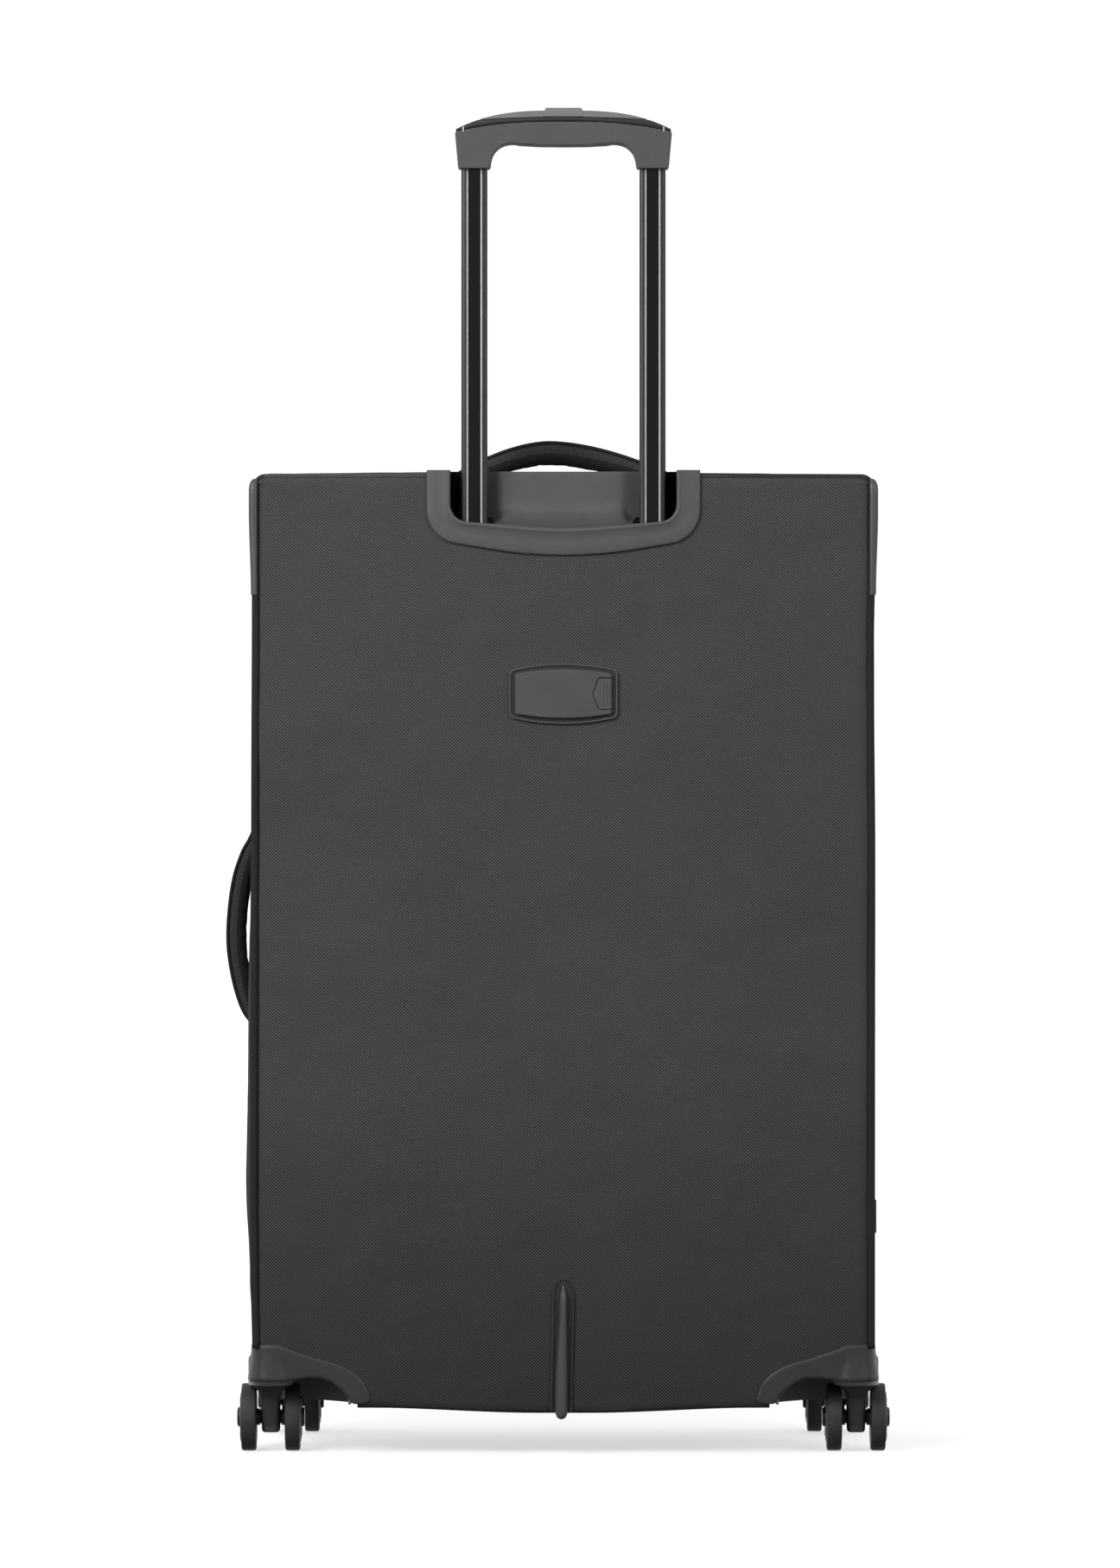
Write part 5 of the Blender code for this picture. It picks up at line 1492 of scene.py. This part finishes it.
def make_pad(name, body, outer, under, half_wide, slot, node_name, seed):
    """A padded arch: a woven band sewn over a gathered lining, between an outer and an under curve."""
    count, rows = 40, []
    for i, (a, b) in enumerate(zip(outer, under)):
        centre, out = (a + b) / 2, (a - b).normalized()
        thick = (a - b).length / 2
        row = []
        for u, v in squarish(half_wide, thick, 3.0, count):
            gather = 0.0
            if v < -0.3 * thick:
                at = i / len(outer)
                gather = 0.0007 * math.sin(2 * math.pi * at * 23 + seed) * abs(u / half_wide)
                gather += 0.0006 * soft_waves(at * 0.5, u, 0.02, seed)
            row.append(centre + Vector((0, 1, 0)) * u + out * (v - gather))
        rows.append(row)
    made = loft(name, rows, BAND, closed=True, ends=True)
    cleaned(made)
    made.data.materials.append(SOFT_LINING)
    inflated(made, 2.0, 0.0012, frames=10)
    flat = []
    length = 0.0
    for i in range(len(rows)):
        if i:
            length += (rows[i][0] - rows[i - 1][0]).length
        flat += [(half_wide * 2 * j / count, length) for j in range(count)]
    set_cloth(made, flat if len(flat) == len(made.data.vertices) else [(v.co.y, v.co.x + v.co.z)
                                                                     for v in made.data.vertices])
    middles = [(a + b) / 2 for a, b in zip(outer, under)]
    outs = [(a - b).normalized() for a, b in zip(outer, under)]
    for face in made.data.polygons:
        near = min(range(len(middles)), key=lambda k: (middles[k] - face.center).length_squared)
        if (face.center - middles[near]).dot(outs[near]) < -0.0005:
            face.material_index = 1
    modify(made, "SUBSURF", levels=1, render_levels=1)
    applied(made)
    put(made, body, slot, node_name)
    for side in (-1, 1):
        thick = [(a - b).length / 2 for a, b in zip(outer, under)]
        line = [m + Vector((0, side * half_wide * 0.97, 0)) + o * t * 0.28 for m, o, t in zip(middles, outs, thick)]
        thread = stitches(f"{name}_seam_{side_of(side)}", line[2:-2], [Vector((0, side, 0.2))] * (len(line) - 4),
                          0.0024, 0.0033, 0.0008)
        put(thread, body, slot)
        edge = [m + Vector((0, side * half_wide * 0.86, 0)) + o * t * 0.93 for m, o, t in zip(middles, outs, thick)]
        frames = []
        for k, place in enumerate(edge[1:-1]):
            ahead = (edge[k + 2] - edge[k]).normalized()
            frames.append((place, ahead.cross(outs[k + 1]).normalized(), outs[k + 1]))
        cord = tube_along(f"{name}_cord_{side_of(side)}", frames, circle(0.0013, 8), PIPING)
        cloth_from_shape(cord)
        put(cord, body, slot)
    return made


def make_top_handle():
    peak_x, foot = -0.0113, 0.7640
    outer, under = [], []
    for t in spread(-1.0, 1.0, 61):
        reach = 0.075 if t < 0 else 0.097
        x = peak_x + t * reach
        z = 0.7695 + 0.0264 * (1 - abs(t) ** 1.75)
        deep = 0.0180 * (1 - 0.55 * abs(t) ** 3)
        steep = -0.0264 * 1.75 * abs(t) ** 0.75 * math.copysign(1, t) / reach
        out = Vector((-steep, 0, 1)).normalized()
        place = Vector((x, HANDLE_Y, z))
        outer.append(place)
        low = place - out * deep
        under.append(Vector((low.x, low.y, max(low.z, foot - 0.004 - 0.004 * abs(t)))))
    make_pad("top_handle_pad", "top_handle", outer, under, 0.0160, "webbing", "top_handle", 0.4)


SIDE_HANDLE_CURVE = ((-0.2462, 0.3330), (-0.2540, 0.3430), (-0.2596, 0.3570), (-0.2640, 0.3750), (-0.2669, 0.3980),
                     (-0.2660, 0.4240), (-0.2622, 0.4500), (-0.2556, 0.4700), (-0.2500, 0.4800), (-0.2462, 0.4880))


def make_side_handle():
    curve = catmull(SIDE_HANDLE_CURVE, 61)
    outer, under = [], []
    for k, place in enumerate(curve):
        ahead = curve[min(60, k + 1)] - curve[max(0, k - 1)]
        out = Vector((-ahead.y, ahead.x)).normalized()
        share = abs(k / 30 - 1)
        deep = 0.0147 * (1 - 0.50 * share ** 3)
        low = place - out * deep
        outer.append(Vector((place.x, HANDLE_Y, place.y)))
        under.append(Vector((min(low.x, -0.2400), HANDLE_Y, low.y)))
    make_pad("side_handle_pad", "side_handle", outer, under, 0.0160, "webbing", "side_handle", 1.9)


# ---- The CAD pieces that stay, the staging and the camera --------------------------------

KEPT = (
    ("slider_", GUNMETAL), ("pull_", GUNMETAL), ("axle_", STEEL), ("latch_pin", STEEL), ("push_yoke", STEEL),
    ("outer_tube", SLEEVE), ("release_button", GRIP_CAP), ("bottom_tray", INNER),
    ("tube_bracket", INNER), ("gusset", SOLID_LINING), ("back_lining", SOLID_LINING),
)


def dress_kept():
    """The CAD pieces that are shown as they are get their detailed materials."""
    for name, item in NODES.items():
        for start, material in KEPT:
            if name.startswith(start):
                item.data.materials.clear()
                item.data.materials.append(material)
                break


def area(name, place, target, wide, high, power):
    light = bpy.data.objects.new(name, bpy.data.lights.new(name, "AREA"))
    bpy.context.scene.collection.objects.link(light)
    light.data.shape = "RECTANGLE"
    light.data.size, light.data.size_y = wide, high
    light.data.energy = power
    light.location = place
    light.rotation_euler = (Vector(target) - Vector(place)).to_track_quat("-Z", "Y").to_euler()
    return light


def make_staging():
    world = bpy.data.worlds.new("studio")
    bpy.context.scene.world = world
    world.use_nodes = True
    tree = world.node_tree
    direction = node(tree, "TexCoord")["Generated"]
    parts = node(tree, "SeparateXYZ", {0: direction})
    behind = ramp(tree, parts[1], 0.0, 1.0, -0.10, 0.92)
    level = maths(tree, "MULTIPLY_ADD", maths(tree, "MULTIPLY", behind, behind), 0.80, 0.20)
    above = ramp(tree, parts[2], 0.40, 1.0, -0.45, -0.10)
    side = maths(tree, "MULTIPLY", level, above)
    shade = node(tree, "CombineColor", {0: side, 1: side, 2: side})[0]
    background = tree.nodes["Background"]
    tree.links.new(shade, background.inputs["Color"])
    background.inputs["Strength"].default_value = 1.0

    floor_material, floor_tree, shader = new_material("studio_floor", Roughness=0.9, Specular_IOR_Level=0.1)
    tone = ramp(floor_tree, speckle(floor_tree, 3.0), 0.93, 0.97)
    floor_tree.links.new(node(floor_tree, "CombineColor", {0: tone, 1: tone, 2: tone})[0], shader.inputs["Base Color"])
    away = node(floor_tree, "VectorMath", {0: node(floor_tree, "TexCoord")["Object"]}, operation="LENGTH")["Value"]
    glow = ramp(floor_tree, away, 1.0, 1.45, 1.2, 3.5)
    floor_tree.links.new(node(floor_tree, "CombineColor", {0: glow, 1: glow, 2: glow})[0],
                         shader.inputs["Emission Color"])
    shader.inputs["Emission Strength"].default_value = 0.60
    size = 13.0
    floor = make("floor", [(-size, -size, 0), (size, -size, 0), (size, size, 0), (-size, size, 0)], [(0, 1, 2, 3)],
                 floor_material)
    floor.visible_diffuse = False
    floor.visible_glossy = False

    wall_material = new_material("studio_wall", Roughness=0.9, Specular_IOR_Level=0.0)[0]
    wall_shader = wall_material.node_tree.nodes["Principled BSDF"]
    wall_shader.inputs["Emission Color"].default_value = (1, 1, 1, 1)
    wall_shader.inputs["Emission Strength"].default_value = 1.0
    ring = [(12.0 * math.cos(t), 12.0 * math.sin(t)) for t in spread(0, 2 * math.pi, 48)]
    wall = loft("backdrop", [[Vector((x, y, z)) for x, y in ring] for z in (-0.1, 13.0)], wall_material)
    wall.visible_diffuse = False
    wall.visible_glossy = False
    wall.visible_transmission = False
    wall.visible_shadow = False

    middle = (0, 0, 0.5)
    area("key", (-1.1, -1.8, 1.5), (0, 0, 0.62), 1.1, 1.1, 27)
    area("fill", (1.7, -2.2, 1.6), (0, 0, 0.60), 1.1, 1.3, 15)
    area("rim_left", (-2.6, 0.3, 1.4), middle, 0.5, 2.4, 9)
    area("rim_right", (2.6, 0.3, 1.4), middle, 0.5, 2.4, 9)


def make_camera():
    camera = bpy.data.objects.new("camera", bpy.data.cameras.new("camera"))
    scene = bpy.context.scene
    scene.collection.objects.link(camera)
    place, target = Vector((-0.0027, -7.163, 0.603)), Vector((-0.0027, -0.140, 0.5255))
    camera.location = place
    camera.rotation_euler = (target - place).to_track_quat("-Z", "Y").to_euler()
    camera.data.lens = 206.2
    camera.data.sensor_width = 36
    camera.data.sensor_height = 36
    camera.data.sensor_fit = "AUTO"
    camera.data.clip_end = 50
    scene.camera = camera
    scene.view_settings.view_transform = "Standard"


make_back_panel()
make_shell()
make_case_edges()
make_front()
make_bezel()
make_cup()
make_tubes()
make_grip()
make_inside()
make_spring()
make_tag()
make_rail()
make_guards()
make_casters()
make_top_handle()
make_side_handle()
dress_kept()
make_staging()
make_camera()
